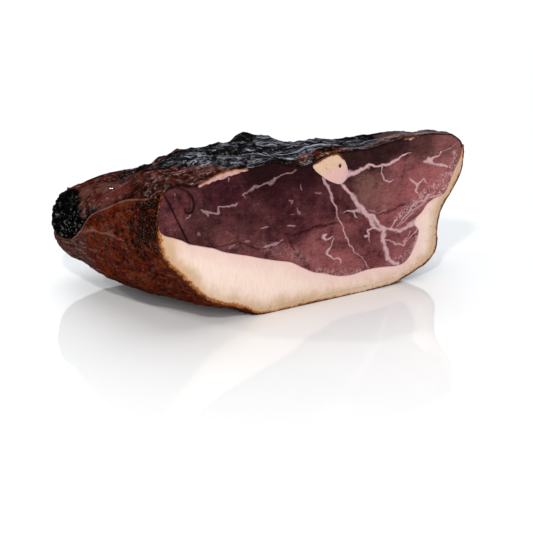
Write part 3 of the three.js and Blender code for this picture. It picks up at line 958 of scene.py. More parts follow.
@dataclass(frozen=True)
class CrustFinish:
    """The dried crust over the lean: near-black wrinkles with painted sheen on their crests and painted shade
    in their valleys, and a burnt end.

    It is red-brown at the left, with a softer stretch and a wet one, and umber at the right front, where the
    painted sheen is stronger and pinker.
    """

    black: Colour = (0.0040, 0.0030, 0.0032)
    # Colour of the painted blue-grey sheen on the crests.
    grey: Colour = (0.38, 0.40, 0.47)
    brown: Colour = (0.024, 0.0055, 0.0035)
    rust: Colour = (0.110, 0.017, 0.006)
    # Painted sheen on the crests in the red-brown stretch.
    dusty: Colour = (0.34, 0.20, 0.19)
    cream: Colour = (0.66, 0.45, 0.27)
    amber: Colour = (0.15, 0.045, 0.014)
    burnt: Colour = (0.0015, 0.0012, 0.0012)
    soft: Colour = (0.125, 0.046, 0.036)
    # Pinker painted sheen on the crests at the right front.
    painted_sheen_pink: Colour = (0.46, 0.33, 0.34)
    umber: Colour = (0.070, 0.036, 0.036)
    wet: Colour = (0.110, 0.010, 0.006)

    def make(self) -> bpy.types.Material:
        """Make the material.

        Returns:
            The material.
        """
        paint = Recipe("dried_crust")
        cloud = paint.noise(8.0, 3.0, 0.6)
        patch = paint.noise(3.6, 3.0, 0.6)
        grain = paint.noise(0.8, 2.0, 0.6)
        height, soft, wet = paint.given("height"), paint.given("soft"), paint.given("wet")
        flow = paint.plane("across", "along")
        rope = paint.noise(2.6, 1.6, 0.5, (1.0, 0.11, 1.0), 0.6, places=flow)
        thread = paint.noise(0.9, 2.0, 0.5, (1.0, 0.13, 1.0), 0.4, places=flow)
        crest = (rope - 0.52).size().ease(0.025, 0.0) + 0.6 * (thread - 0.5).size().ease(0.026, 0.0)
        crest = crest * height.ease(3.6, 2.0)
        # lit: where the crests get the painted sheen; the sheen value fades it towards the back.
        lit = height * 0.08 + patch * 0.7 + cloud * 1.3 + paint.given("polish")
        lit = lit.ease(0.94, 1.24) * paint.given("sheen")
        # The right front: umber, with more and pinker painted sheen on its crests.
        dusty = (paint.given("dusty") + patch.sway(0.8)).ease(0.25, 0.75)
        zone = (paint.given("brown") + cloud.sway(12.0) + patch.sway(6.0)).ease(-2.5, 2.5)
        crumbs = (paint.given("crumbs") * 0.8 + grain.sway(2.0)).ease(0.60, 0.85)
        brown = paint.coats(
            self.brown,
            ((rope * 0.7 + patch * 0.5).ease(0.55, 0.70) * 0.7, self.rust),
            (soft * cloud.ease(0.36, 0.56) * 0.8, self.soft),
            (wet * 0.8, self.wet),
            # Painted sheen on the crests in the red-brown stretch.
            (crest * lit * 0.8, self.dusty),
        )
        colour = paint.coats(
            self.black,
            (dusty, self.umber),
            # Painted blue-grey sheen on the crests.
            (crest * (lit + 0.35 * dusty), paint.mix(dusty, self.grey, self.painted_sheen_pink)),
            (zone, brown),
            ((patch * 0.5 + grain * 0.6).ease(0.66, 0.72) * 0.7, self.rust),
            # Painted shade in the valleys of the wrinkles.
            ((height * 0.06 + rope).ease(0.46, 0.34) * (0.9 - 0.5 * soft), self.black),
            (crumbs, paint.mix(patch.ease(0.32, 0.48), self.cream, self.amber)),
            (paint.given("tip"), self.burnt),
        )
        normal = paint.relief(rope, 2.0, paint.relief(thread * 0.8 + grain * 0.3, 0.6))
        gloss = (patch * 0.6 + grain * 0.6).ease(0.66, 0.74) * (0.35 + 0.35 * zone)
        gloss = gloss + grain.ease(0.50, 0.58) * wet
        return paint.finish(colour, 0.35 + 0.3 * patch, normal, gloss, **WET_COAT)


@dataclass(frozen=True)
class SeamFatFinish:
    """The seam fat: soft pink with a yellower top, a crumbly brown edge and painted shade in one small pit.
    """

    pink: Colour = (0.74, 0.46, 0.42)
    yellow: Colour = (0.72, 0.49, 0.34)
    brown: Colour = (0.12, 0.032, 0.010)
    # Painted shade in the small pit.
    pit: Colour = (0.03, 0.008, 0.004)

    def make(self) -> bpy.types.Material:
        """Make the material.

        Returns:
            The material.
        """
        paint = Recipe("soft_seam_fat")
        cloud, grain = paint.noise(5.0, 3.0, 0.6), paint.noise(1.1, 3.0, 0.7)
        high = paint.given("high")
        colour = paint.coats(
            self.pink,
            ((high + cloud.sway(1.2) + grain.sway(0.5)).ease(0.15, 0.95), self.yellow),
            ((grain * 0.7 + cloud * 0.4 + 0.05 * high).ease(0.66, 0.74) * 0.6, self.brown),
            ((paint.given("crumbs") + grain.sway(0.9) + cloud.sway(0.5)).ease(0.35, 0.75), self.brown),
            # Painted shade in the small pit.
            (paint.given("pit"), self.pit),
        )
        normal = paint.relief(grain * 0.5 + cloud * 0.5, 0.25)
        return paint.finish(colour, 0.36 + 0.2 * grain, normal, **SOFT_FAT)


@dataclass(frozen=True)
class Lines:
    """A set of lines on the cut face, each with a half width that changes along it."""

    starts: Array
    ends: Array
    tones: Array

    @classmethod
    def of(cls, table: list[tuple[float, list[tuple[float, float, float]]]]) -> "Lines":
        """Draw smooth lines through rows of (u, z, half width).

        Args:
            table: A tone and its rows for each line.

        Returns:
            The lines, cut into straight pieces.
        """
        starts, ends, tones = [], [], []
        for tone, rows in table:
            corners = np.array(rows, float)
            length = np.linalg.norm(np.diff(corners, axis=0), axis=1).sum()
            line = smooth_curve(corners, max(int(length / LINE_STEP), 2) + 1)
            starts.append(line[:-1])
            ends.append(line[1:])
            tones.append(np.full(len(line) - 1, tone))
        return cls(np.vstack(starts), np.vstack(ends), np.concatenate(tones))

    def measure(self, u: Array, z: Array) -> tuple[Array, Array, Array]:
        """Find the line that each place is deepest in.

        Args:
            u: Places along the face.
            z: Heights of the places.

        Returns:
            The distance in half widths, the same with a sign that tells the side, and the tone.
        """
        places = np.stack([u, z], axis=-1).reshape(-1, 2)
        reach = self.ends[:, :2] - self.starts[:, :2]
        square = np.maximum(np.sum(reach**2, axis=1), 1e-9)
        near, side, tone = (np.empty(len(places)) for _ in range(3))
        for part in np.array_split(np.arange(len(places)), len(places) // BATCH + 1):
            offset = places[part, None, :] - self.starts[None, :, :2]
            along = np.clip(np.sum(offset * reach, axis=-1) / square, 0.0, 1.0)
            gap = np.linalg.norm(offset - along[..., None] * reach, axis=-1)
            half = blend(self.starts[:, 2], self.ends[:, 2], along)
            ratio = gap / half
            best = np.argmin(ratio, axis=1)
            rows = np.arange(len(part))
            cross = reach[best, 0] * offset[rows, best, 1] - reach[best, 1] * offset[rows, best, 0]
            near[part] = ratio[rows, best]
            side[part] = np.copysign(near[part], cross)
            tone[part] = self.tones[best]
        return near.reshape(u.shape), side.reshape(u.shape), tone.reshape(u.shape)

    def gap(self, u: Array, z: Array) -> Array:
        """The distance alone, in half widths."""
        return self.measure(u, z)[0]


def distance(points: Array, u: Array, z: Array) -> Array:
    """Distance in millimetres from a line through some points."""
    rows = np.column_stack([points, np.ones(len(points))])
    return Lines(rows[:-1], rows[1:], np.zeros(len(rows) - 1)).gap(u, z)


# Lines on the cut face: a tone for each line, and its rows of u, z and half width.
PALE_SEAMS = [
    (1.0, [(71.5, 91.1, 2.2), (76.3, 91.6, 1.9), (82.2, 91.9, 1.5), (88, 94, 1.3), (92.9, 95.1, 1),
           (99.9, 94, 0.8), (107.9, 93.5, 0.8), (114.4, 95.1, 1), (123.8, 98.8, 0.5), (129.9, 99.4, 0.3)]),
    (0.6, [(93.9, 94.8, 0.5), (93.5, 92.3, 0.3)]),
    (0.8, [(103.6, 93.3, 0.5), (103.7, 89, 0.5), (104.6, 85.5, 0.5), (107.2, 82.1, 0.7),
           (110.3, 80.5, 0.7), (113.3, 81.6, 0.5), (114.3, 82.1, 0.3)]),
    (1.0, [(70.1, 85, 1), (74.6, 79.6, 1.1), (79.1, 74.2, 1.4), (83.2, 69.3, 1.6), (86.8, 64.4, 2),
           (91.9, 59.2, 1.7), (99, 54.5, 1.2), (104.3, 48.4, 1.3), (106.9, 43.6, 1.7), (106.6, 38.4, 1.6),
           (108.3, 32.8, 1.5), (109.5, 27.2, 1.6), (111.2, 22.5, 1.5), (115.4, 18.6, 1),
           (120.7, 15.8, 1.2)]),
    (1.0, [(88.8, 61.4, 1.5), (94, 56.3, 1.3), (96.6, 51.5, 1.2), (99.2, 47.1, 1.2), (103.3, 45.1, 0.9),
           (106.4, 44.5, 0.8)]),
    (1.0, [(107.4, 44.8, 1), (111.5, 44.1, 1), (115.6, 43.4, 0.9), (120.8, 41.6, 0.9), (124.9, 42.2, 1.2),
           (127.9, 43.4, 1.4), (132, 44.9, 2), (139, 46.5, 3)]),
    (0.9, [(112.5, 44.3, 0.8), (115, 46.5, 0.6), (116.9, 50.6, 0.4), (117.9, 52.2, 0.3)]),
    (0.8, [(119.7, 44.9, 0.4), (123.6, 49.5, 0.4), (127.6, 53.2, 0.5), (131.6, 56, 0.4)]),
    (0.8, [(122.2, 45.3, 0.4), (126.7, 49.8, 0.4), (132.7, 53.6, 0.4)]),
    (0.8, [(84.8, 63.4, 0.8), (79.4, 63.5, 0.8), (75, 63.4, 0.5), (71.5, 63.3, 0.3)]),
    (0.8, [(79.4, 63.9, 0.7), (81.4, 60.1, 0.5), (83, 56.8, 0.3)]),
    (0.9, [(99.3, 46.7, 0.8), (94.2, 47.5, 0.7), (92.7, 46.1, 0.6), (93.8, 44.1, 0.6), (90.8, 42.9, 0.8)]),
    (0.7, [(93.3, 43.8, 0.6), (94.4, 40.5, 0.4), (95.5, 37.7, 0.4)]),
    (0.75, [(54.1, 91.7, 1), (57.1, 86.2, 1.2), (59.5, 82.4, 0.9), (61.3, 77.1, 0.9), (63.6, 71.6, 0.7),
            (65.6, 66.2, 0.7), (68.2, 58.9, 0.55), (71.8, 51.5, 0.6), (73.8, 45.9, 0.6), (77.5, 39.2, 0.5),
            (80.5, 34.3, 0.45), (85.7, 29, 0.35), (89.8, 24.7, 0.3), (93.2, 20.6, 0.35), (95.6, 17.6, 0.4)]),
    (0.9, [(57.6, 50.9, 0.5), (54.2, 49.4, 1), (55.7, 47, 0.6), (59.1, 46.4, 0.5), (62.5, 46.6, 0.5)]),
    (0.9, [(63.1, 44.8, 0.3), (62.2, 39.4, 0.6), (58.3, 36.6, 0.9), (58.3, 34.9, 0.7), (62.8, 31.9, 0.5),
           (68.8, 29, 0.5), (69.8, 26.2, 0.5)]),
    (1.0, [(140.5, 90.3, 0.4), (145.7, 90.8, 1.7), (149.9, 88.4, 0.8), (157.4, 86, 1), (163.2, 83.8, 0.4)]),
    (1.0, [(145.1, 92.2, 1.2), (148.7, 92.1, 0.7), (153.8, 93.9, 0.5), (156.3, 96.2, 0.4)]),
    (0.5, [(154.9, 94.6, 0.3), (165.2, 97.9, 0.35), (173.5, 100.2, 0.4)]),
    (0.9, [(129.1, 81.2, 0.5), (132.3, 76.8, 0.7), (135.5, 74.2, 1), (134.6, 70.8, 0.6), (133.1, 70.2, 0.5),
           (136.3, 67.5, 0.6)]),
    (0.9, [(135.5, 74.2, 0.8), (139.1, 75.8, 0.6), (141.6, 77.1, 0.6), (144.3, 75, 0.4)]),
    (0.8, [(109.7, 36.9, 0.4), (114.9, 34.2, 0.5), (120.1, 31.5, 0.6), (125.4, 28.8, 0.5), (126.3, 31.3, 0.4),
           (130.4, 34.1, 0.5), (137.5, 39.1, 0.6)]),
    (0.8, [(139.1, 37, 0.6), (136.7, 31.2, 0.6), (133.9, 24.6, 0.7), (131.9, 21.8, 0.5)]),
    (0.7, [(131.2, 39.3, 0.4), (128.2, 35.4, 0.4), (125.3, 31.5, 0.4)]),
    (0.9, [(145.8, 64.2, 0.9), (141.8, 61.4, 0.5), (135.6, 60.6, 0.4), (130.5, 57.9, 0.4)]),
    (0.9, [(146.9, 62.3, 0.6), (155.3, 63.1, 0.6), (161.6, 63, 0.6)]),
    (0.8, [(144.9, 61.7, 0.5), (137.8, 56.7, 0.5), (131.6, 55.1, 0.4), (125.5, 54.4, 0.3)]),
    (0.5, [(94.8, 62.6, 0.4), (100.9, 58.1, 0.4), (108, 59.5, 0.5)]),
    (0.55, [(-43.4, 84.8, 0.3), (-38.6, 82.4, 0.9), (-34.6, 81.4, 0.5), (-29.7, 80.9, 0.8),
            (-30.1, 84.6, 0.5), (-26.1, 84.7, 0.5), (-21.7, 83.8, 0.6), (-17.2, 84.1, 0.7),
            (-15.4, 85, 0.3)]),
    (0.5, [(-39.9, 83, 0.5), (-38.2, 79.9, 0.3)]),
    (0.45, [(-8.6, 87.5, 0.3), (-10.8, 90.2, 0.5), (-7.2, 91, 0.7), (-3.6, 92.8, 1), (-0.9, 94.4, 1.1),
            (2.8, 94.7, 0.5), (7.3, 95.6, 0.7), (11.9, 95.7, 1.6), (14.7, 97.7, 0.9), (20.2, 99.3, 0.6),
            (23.9, 99.9, 0.5), (27.6, 100.2, 0.9), (32.3, 101.5, 0.4)]),
    (0.4, [(35.2, 89.9, 0.5), (36, 86.1, 0.6)]),
    (0.45, [(47.6, 82.5, 0.4), (53.3, 81.4, 0.4)]),
    (0.4, [(26.4, 80.6, 0.6), (29.6, 80.5, 0.7), (28.2, 77.8, 0.6)]),
    (0.4, [(32, 74.6, 0.3), (35.4, 69.9, 0.9)]),
    (0.3, [(27.4, 68.7, 0.3), (30.7, 69.4, 0.3)]),
    (0.5, [(4.1, 64, 0.6), (8.3, 64.7, 0.5)]),
    (0.5, [(25.5, 61.7, 0.5), (30.7, 60.8, 0.5)]),
    (0.55, [(5.5, 49.5, 0.3), (10.1, 50.8, 0.8), (14.8, 51.2, 0.8), (18.5, 51.4, 0.4), (20.4, 53.1, 0.4)]),
    (0.4, [(-21, 54.3, 0.6), (-17.4, 55.3, 0.6)]),
    (0.4, [(-9.2, 56.3, 0.5), (-5.6, 56.5, 0.5)]),
    (0.3, [(-45.8, 68.2, 1.2), (-45.1, 67.5, 1.2)]),
    (0.5, [(-21.5, 103.7, 0.5), (-21.5, 100.5, 0.4)]),
    (0.4, [(-63, 100, 0.4), (-62.2, 96.3, 0.3)]),
    (0.4, [(-52.1, 83, 0.5), (-55.2, 80.7, 0.5)]),
]
# Knife scores on the cut: grooves, painted near-black in the lean as the shade inside them.
DARK_LINES = [
    (1.0, [(-70, 99.5, 0.3), (-68.2, 95.5, 0.5), (-64.5, 88.2, 0.55), (-61.6, 81, 0.5), (-58, 73.4, 0.6),
           (-55.4, 67.9, 0.55), (-52.4, 62, 0.5)]),
    (0.9, [(-53.1, 99.6, 0.5), (-49.7, 94.3, 0.8), (-48.5, 88.5, 0.8), (-50.8, 84, 0.7), (-55.1, 85.5, 0.5),
           (-54.6, 87.9, 0.5)]),
    (0.6, [(-59.9, 103, 0.5), (-54.8, 99.9, 0.5), (-51.9, 94.6, 0.5), (-51.6, 89.8, 0.5),
           (-52.5, 86.7, 0.5)]),
    (0.6, [(-38.9, 57.2, 0.4), (-28.2, 56.5, 0.4), (-15.6, 57.5, 0.5)]),
    (0.6, [(-15.6, 57.5, 0.5), (-7.4, 53.5, 0.5), (2.7, 48.3, 0.6)]),
    (0.6, [(95.4, 17.4, 0.3), (98.4, 18.6, 0.4), (101.4, 19.0, 0.3)]),
]
RED_LINES = [
    (0.8, [(25.1, 54.4, 0.7), (31.8, 41.3, 0.9), (38.6, 33.2, 0.8), (44.4, 26.1, 0.6)]),
    (1.0, [(23.2, 57.3, 0.5), (27, 54.5, 0.9), (39.3, 55.4, 1), (48.8, 57, 1), (60.3, 57, 0.9),
           (67.2, 57.4, 0.6)]),
    (0.7, [(94.9, 57.8, 0.8), (110, 57.9, 0.9), (121.2, 60.4, 0.8), (131.4, 62.2, 0.6)]),
]
FAT_STRIP = [
    (1.0, [(-44.4, 102.6, 1), (-36.5, 104.7, 2.4), (-29.4, 106.6, 2.6), (-20.6, 107.6, 2.2),
           (-11.6, 107.6, 1.2), (-6.3, 107.3, 0.4)]),
    (1.0, [(122, 109.6, 0.3), (127, 110.2, 0.8), (134, 111.0, 0.9), (142, 111.6, 0.3)]),
]
SPECKLED = [
    (1.0, [(118, 52, 3), (132, 58, 6), (146, 66, 7), (158, 70, 9), (166, 82, 6), (169, 93, 3)]),
    (0.7, [(139, 40, 3), (136, 28, 5), (128, 21, 5), (112, 18, 2)]),
    (0.6, [(88, 17, 3), (66, 19, 4), (50, 24, 4)]),
    (0.3, [(40, 33, 6), (30, 40, 6), (5, 50, 5)]),
]
# The ridge on the rind's left side, in rows of depth, z and half width.
RIND_RIDGE = [
    (1.0, [(104, 44, 0.5), (89, 52, 0.9), (74, 57, 1.0), (60, 59.5, 1.0), (47, 60, 0.8), (38, 58.5, 0.4)]),
]
# Tones of the lean: u, z, and how warm, smoky and tan it is there.
TONE_CENTRES = [
    (-68, 86, 0.27, 0.10, 0.05), (-45, 78, 0.12, 0.15, 0.20), (-20, 92, 0.10, 0.15, 0.05),
    (-5, 70, 0.15, 0.10, 0.15), (-15, 52, 0.38, 0.00, 0.22), (5, 104, 0.00, 0.75, 0.00),
    (35, 98, 0.00, 0.60, 0.00), (30, 80, 0.12, 0.20, 0.10), (35, 63, 0.22, 0.10, 0.05),
    (45, 36, 0.62, 0.00, 0.20), (75, 24, 0.66, 0.00, 0.18), (75, 48, 0.45, 0.00, 0.10),
    (68, 74, 0.22, 0.20, 0.00), (100, 102, 0.00, 0.65, 0.25), (116, 106, 0.05, 0.60, 0.20),
    (76, 99, 0.05, 0.60, 0.20), (90, 78, 0.35, 0.10, 0.60), (105, 68, 0.55, 0.00, 0.40),
    (120, 88, 0.60, 0.00, 0.20),
    (140, 105, 0.25, 0.45, 0.35), (160, 98, 0.50, 0.05, 0.40), (135, 72, 0.72, 0.00, 0.10),
    (155, 78, 0.85, 0.00, 0.20), (118, 59, 0.60, 0.00, 0.00), (128, 32, 0.62, 0.00, 0.20),
    (100, 30, 0.42, 0.10, 0.00), (88, 46, 0.30, 0.12, 0.00),
]
# Outline of the seam fat, in rows of u and z.
BLOB = [(61, 108.4), (67, 108), (71.5, 102.5), (74.6, 94.5), (74, 89), (69, 85.5), (59.5, 89),
        (53, 93.7), (47.5, 98.5), (45.4, 102.2), (53, 106.4)]


def tones(u: Array, z: Array) -> Array:
    """Blend the tone centres by 1 / (distance^2 + spread^2)^2, to warm, smoky and tan.

    Args:
        u: Places along the face.
        z: Heights of the places.

    Returns:
        An array for each of the three.
    """
    table = np.array(TONE_CENTRES, float)
    away = (u[..., None] - table[:, 0]) ** 2 + (z[..., None] - table[:, 1]) ** 2
    weight = 1.0 / (away + TONE_SPREAD**2) ** 2
    return np.moveaxis((weight @ table[:, 2:]) / weight.sum(axis=-1, keepdims=True), -1, 0)


def from_left_lip(share: Array, depth: Array) -> Array:
    """Millimetres along the outside from the left lip, positive on the crust."""
    return (share - FORM.left_lip(depth)) * ROUND_LENGTH


def below_left_lip(share: Array, depth: Array) -> Array:
    """Millimetres along the outside from the left lip, positive on the rind."""
    return (1.0 + FORM.left_lip(depth) - share) * ROUND_LENGTH


def from_lips(share: Array, depth: Array) -> Array:
    """Distance of a place on the crust from the nearer lip, in widths of the groove."""
    return np.minimum(share - FORM.left_lip(depth), FORM.right_lip - share) / FORM.lip_groove


def left_side(u: Array) -> Array:
    """Rise from 0 to 1 round the corner between the underside and the left side."""
    return ease(-30.0, -60.0, u)


def wrinkle_flow(share: Array, depth: Array) -> tuple[Array, Array]:
    """Coordinates of the crust's wrinkles: across them and along them.

    The wrinkles follow the cut edge and turn back along the left side, as hyperbolas do: across
    is log(arc * depth) and along is log(arc / depth), with arc the way round from the left lip.

    Args:
        share: Shares of the way round.
        depth: How far they are behind the cut.

    Returns:
        Across and along.
    """
    arc = from_left_lip(share, depth) + FLOW_BELOW
    back = depth + FLOW_AHEAD
    return np.log(arc * back), np.log(arc / back)


@dataclass
class Surfaces:
    """The ham's fine surfaces, with their relief, and the coarse hidden one between fat and lean."""

    columns: int = 360
    side_columns: int = 130
    strip_rows: int = 36
    depth_count: int = 92
    coarse_columns: int = 10
    coarse_rows: int = 7
    low_right: tuple[float, float] = (134.0, 24.5)
    low_left: tuple[float, float] = (-72.8, 73.5)
    burnt_from: float = 78.5
    burnt_slant: float = 0.66
    wave_tall: float = 1.1
    wave_long: float = 0.42
    bubble: float = 3.2
    smoked_deep: float = 25.0
    smoked_from: float = 62.0

    def __post_init__(self) -> None:
        """Work out the shared borders once, so that neighbouring pieces meet exactly."""
        steps = np.linspace(0.0, 1.0, self.depth_count)
        self.depths = FORM.ham_depth * np.sin(math.pi / 2 * steps**1.35)
        self.round_noise = Noise(11)
        self.rind_noise = Noise(23)
        self.face_noise = Noise(37)
        lip = float(FORM.left_lip(np.array(0.0)))
        shares = np.linspace(FORM.right_lip, 1.0 + lip, 4000)
        u, z = FORM.inner(shares, np.array(0.0))
        length = np.r_[0.0, np.cumsum(np.hypot(np.diff(u), np.diff(z)))]
        low_right, low_left = (np.argmin(np.hypot(u - a, z - b)) for a, b in (self.low_right, self.low_left))
        stops = np.concatenate([
            np.linspace(0.0, length[low_right], self.side_columns, endpoint=False),
            np.linspace(length[low_right], length[low_left], self.columns, endpoint=False),
            np.linspace(length[low_left], length[-1], self.side_columns + 1),
        ])
        self.shares = np.interp(stops, length, shares)
        self.sigma = (self.shares - FORM.right_lip) / (1.0 + lip - FORM.right_lip)
        cut = np.zeros(1)
        self.top = np.column_stack(self.crust(self.crust_shares(cut)[0], cut)[:2])
        self.line = np.column_stack(FORM.inner(self.shares, cut))
        self.line[0], self.line[-1] = self.top[-1], self.top[0]
        self.rim = np.column_stack(self.rind(self.shares, cut)[:2])

    def crust_shares(self, depths: Array) -> Array:
        """Shares of the way round of the crust's columns at some depths, from lip to lip."""
        lip = FORM.left_lip(depths)[:, None]
        return blend(lip, FORM.right_lip, np.linspace(0.0, 1.0, self.columns + 1)[None])

    def skin_shares(self, depths: Array) -> Array:
        """Shares of the way round of the rind's columns at some depths, from lip to lip."""
        return FORM.right_lip + self.sigma[None] * (1.0 + FORM.left_lip(depths)[:, None] - FORM.right_lip)

    def burnt(self, share: Array, depth: Array) -> Array:
        """Share of the burnt crust, which covers the blunt end behind a slanting line.

        Args:
            share: Shares of the way round.
            depth: How far they are behind the cut.

        Returns:
            0 where it isn't burnt, and 1 where it is.
        """
        wander = 7.0 * self.round_noise.layers(share * 60.0, depth / 12.0, 5.0, 2)
        slant = self.burnt_slant * from_left_lip(share, depth)
        return ease(-2.5, 2.5, depth + wander - self.burnt_from - slant)

    def crust_height(self, share: Array, depth: Array, u: Array, z: Array) -> Array:
        """Relief of the crust: broad wrinkles, sharper folds on them, knobs, and a bubbly end.

        The wrinkles are a cosine across their flow, bent by noise. The folds are the crests of two
        noises stretched along the flow. A knob is a smooth step of the distance from its middle,
        and the bubbles are a noise without its sign. All fade out at the lips.

        Args:
            share: Shares of the way round.
            depth: How far they are behind the cut.
            u: Places along the face.
            z: Heights of the places.

        Returns:
            The relief, in millimetres.
        """
        across, along = wrinkle_flow(share, depth)
        noise = self.round_noise
        bend = 0.12 * noise.layers(across * 2.0, along * 1.5, 0.0, 2)
        fade = ease(0.0, 8.0, depth) * ease(FORM.ham_depth, FORM.ham_depth - 20.0, depth)
        broad = self.wave_tall * np.cos(2 * math.pi * (across + bend) / self.wave_long) * fade
        folds = noise.ridges(across * 11.0 + 4 * bend, along * 1.8, 3.0)
        fine = noise.ridges(across * 24.0 + 6 * bend, along * 3.5, 9.0)
        lumps = noise.layers(u / 9.0, depth / 9.0, 0.0, 3)
        burnt = self.burnt(share, depth)
        rough = blend(0.6, 1.0, ease(0.0, 6.0, depth)) * (folds + 0.5 * fine) * (1.0 - 0.7 * burnt)
        bubbles = self.bubble * np.abs(noise.at(u / 3.6, depth / 3.6, z / 3.6)) * burnt
        for mid_u, mid_d, radius, tall in FORM.knobs:
            away = np.hypot(u - mid_u, depth - mid_d) / radius
            knob = ease(1.0, 0.35, away + 0.15 * lumps)
            broad = broad + tall * knob
            rough = rough * (1.0 - 0.8 * knob * (radius < FORM.small_knob))
        lips = from_lips(share, depth)
        return broad * ease(0.0, 3.0, lips) + (rough + 0.4 * lumps + bubbles) * ease(0.0, 0.5, lips)

    def crust(self, share: Array, depth: Array) -> tuple[Array, Array, Array]:
        """Give u, z and relief of the crust, set back at the lips where the rind ends.

        Args:
            share: Shares of the way round.
            depth: How far they are behind the cut.

        Returns:
            u, z and the relief, in millimetres.
        """
        share, depth = np.broadcast_arrays(share, depth)
        u, z = FORM.skin(share, depth)
        lips = from_lips(share, depth)
        half_z = FORM.section(depth)[3]
        step = FORM.lip_step * ease(1.6, 0.0, lips) * ease(0.0, 0.1, half_z / FORM.half[1])
        height = self.crust_height(share, depth, u, z)
        move = step - height + 0.7 * ease(2.5, 0.0, depth) * ease(0.0, 2.0, lips)
        return *FORM.sunk(u, z, depth, move), height

    def smoked(self, u: Array, z: Array, depth: Array) -> Array:
        """Share of the dark knobbly patch beside the cut face's left edge, with a ragged border.

        Args:
            u: Places along the face.
            z: Heights of the places.
            depth: How far they are behind the cut.

        Returns:
            0 outside the patch, and 1 inside.
        """
        ragged = self.rind_noise.layers(u / 8.0, depth / 8.0, z / 8.0, 3)
        inside = np.minimum(self.smoked_deep - depth, 0.8 * (z - self.smoked_from)) + 15.0 * ragged
        return ease(-4.0, 5.0, inside) * ease(-50.0, -68.0, u)

    def rind(self, share: Array, depth: Array) -> tuple[Array, Array, Array]:
        """Give u, z and relief of the rind: lumps, folds along the left lip, and a low ridge.

        Lumps, knobs and bubbles are noises of 15, 4 and 3 mm. The folds are bells of the distance
        below the lip, the ridge is a bell of the distance from its line, and all fade at the ends.

        Args:
            share: Shares of the way round.
            depth: How far they are behind the cut.

        Returns:
            u, z and the relief, in millimetres.
        """
        share, depth = np.broadcast_arrays(share, depth)
        u, z = FORM.skin(share, depth)
        noise = self.rind_noise
        lumps = noise.layers(u / 15.0, depth / 17.0, z / 13.0, 2)
        knobs = noise.layers(u / 4.2, depth / 5.0 + 5.0, z / 4.2, 2)
        below = below_left_lip(share, depth)
        bend = 2.4 * noise.layers(depth / 14.0, below / 20.0, 4.0, 2)
        folds = hump(below + bend, 3.6, 1.4) - 0.9 * hump(below + bend, 6.5, 2.0)
        folds = (folds + 0.6 * hump(below + bend, 13.0, 3.0)) * ease(40.0, 24.0, below)
        left = left_side(u)
        ridge = RIDGES.gap(depth + 2.0 * bend, z)
        creases = noise.ridges(depth / 13.0, z / 3.2, u / 13.0) * ease(34.0, 12.0, z) * left
        bubbles = np.abs(noise.at(u / 3.0, depth / 3.0, z / 3.0)) * self.smoked(u, z, depth)
        ends = ease(0.0, 3.0, depth) * ease(FORM.ham_depth, FORM.ham_depth - 6.0, depth)
        lips = np.minimum((share - FORM.right_lip) * ROUND_LENGTH, below)
        height = 0.8 * lumps + 0.4 * knobs + 0.9 * folds + 0.8 * hump(ridge, 0.0, 1.6) * left
        height = (height + 0.5 * creases + 1.5 * bubbles) * ends * ease(0.0, 2.5, lips)
        height = height + 0.35 * knobs * ease(3.0, 0.0, depth) * ease(0.0, 2.5, lips)
        move = 0.8 * ease(2.5, 0.0, depth) * ease(0.0, 2.0, lips) - height
        return *FORM.sunk(u, z, depth, move), height

    def hidden(self) -> Array:
        """Points of the coarse surface between fat and lean, one row for each coarse depth.

        Returns:
            The points, in metres.
        """
        depths = self.depths[::self.coarse_rows].copy()
        depths[0] = 1.0
        shares = self.skin_shares(depths)[:, ::self.coarse_columns]
        u, z = FORM.inner(shares, depths[:, None])
        return FORM.place(u, z, np.broadcast_to(depths[:, None], u.shape))

    def face_relief(self, u: Array, z: Array, edge: Array) -> Array:
        """How far the cut face lies back of its plane, in mm: soft waves, grain, and the cuts.

        Args:
            u: Places along the face.
            z: Heights of the places.
            edge: 0 at the face's outer edge, and 1 a little way in.

        Returns:
            The relief.
        """
        noise = self.face_noise
        waves = 0.22 * noise.layers(u / 16.0, z / 13.0, 0.0, 2) + 0.05 * noise.at(u / 2.4, z / 1.5, 0.0)
        slits, _, strength = DARKS.measure(u, z)
        cuts = 0.9 * strength * np.exp(-(slits**2)) + 0.35 * np.exp(-((REDS.gap(u, z) / 1.5) ** 2))
        return (waves + cuts) * edge


PALES = Lines.of(PALE_SEAMS)
DARKS = Lines.of(DARK_LINES)
REDS = Lines.of(RED_LINES)
STRIP = Lines.of(FAT_STRIP)
SPECKLES = Lines.of(SPECKLED)
RIDGES = Lines.of(RIND_RIDGE)


def blob_reach(u: Array, z: Array) -> Array:
    """Distance from the middle of the seam fat, as a share of its outline's there.

    Args:
        u: Places along the face.
        z: Heights of the places.

    Returns:
        0 at the middle, and 1 on the outline.
    """
    outline = smooth_curve(BLOB, 240, closed=True)
    middle = outline.mean(axis=0)
    across, up = (outline - middle).T
    angle, reach = np.arctan2(up, across), np.hypot(across, up)
    order = np.argsort(angle)
    own_across, own_up = u - middle[0], z - middle[1]
    own = np.arctan2(own_up, own_across)
    edge = np.interp(own, angle[order], reach[order], period=2 * math.pi)
    return np.hypot(own_across, own_up) / edge


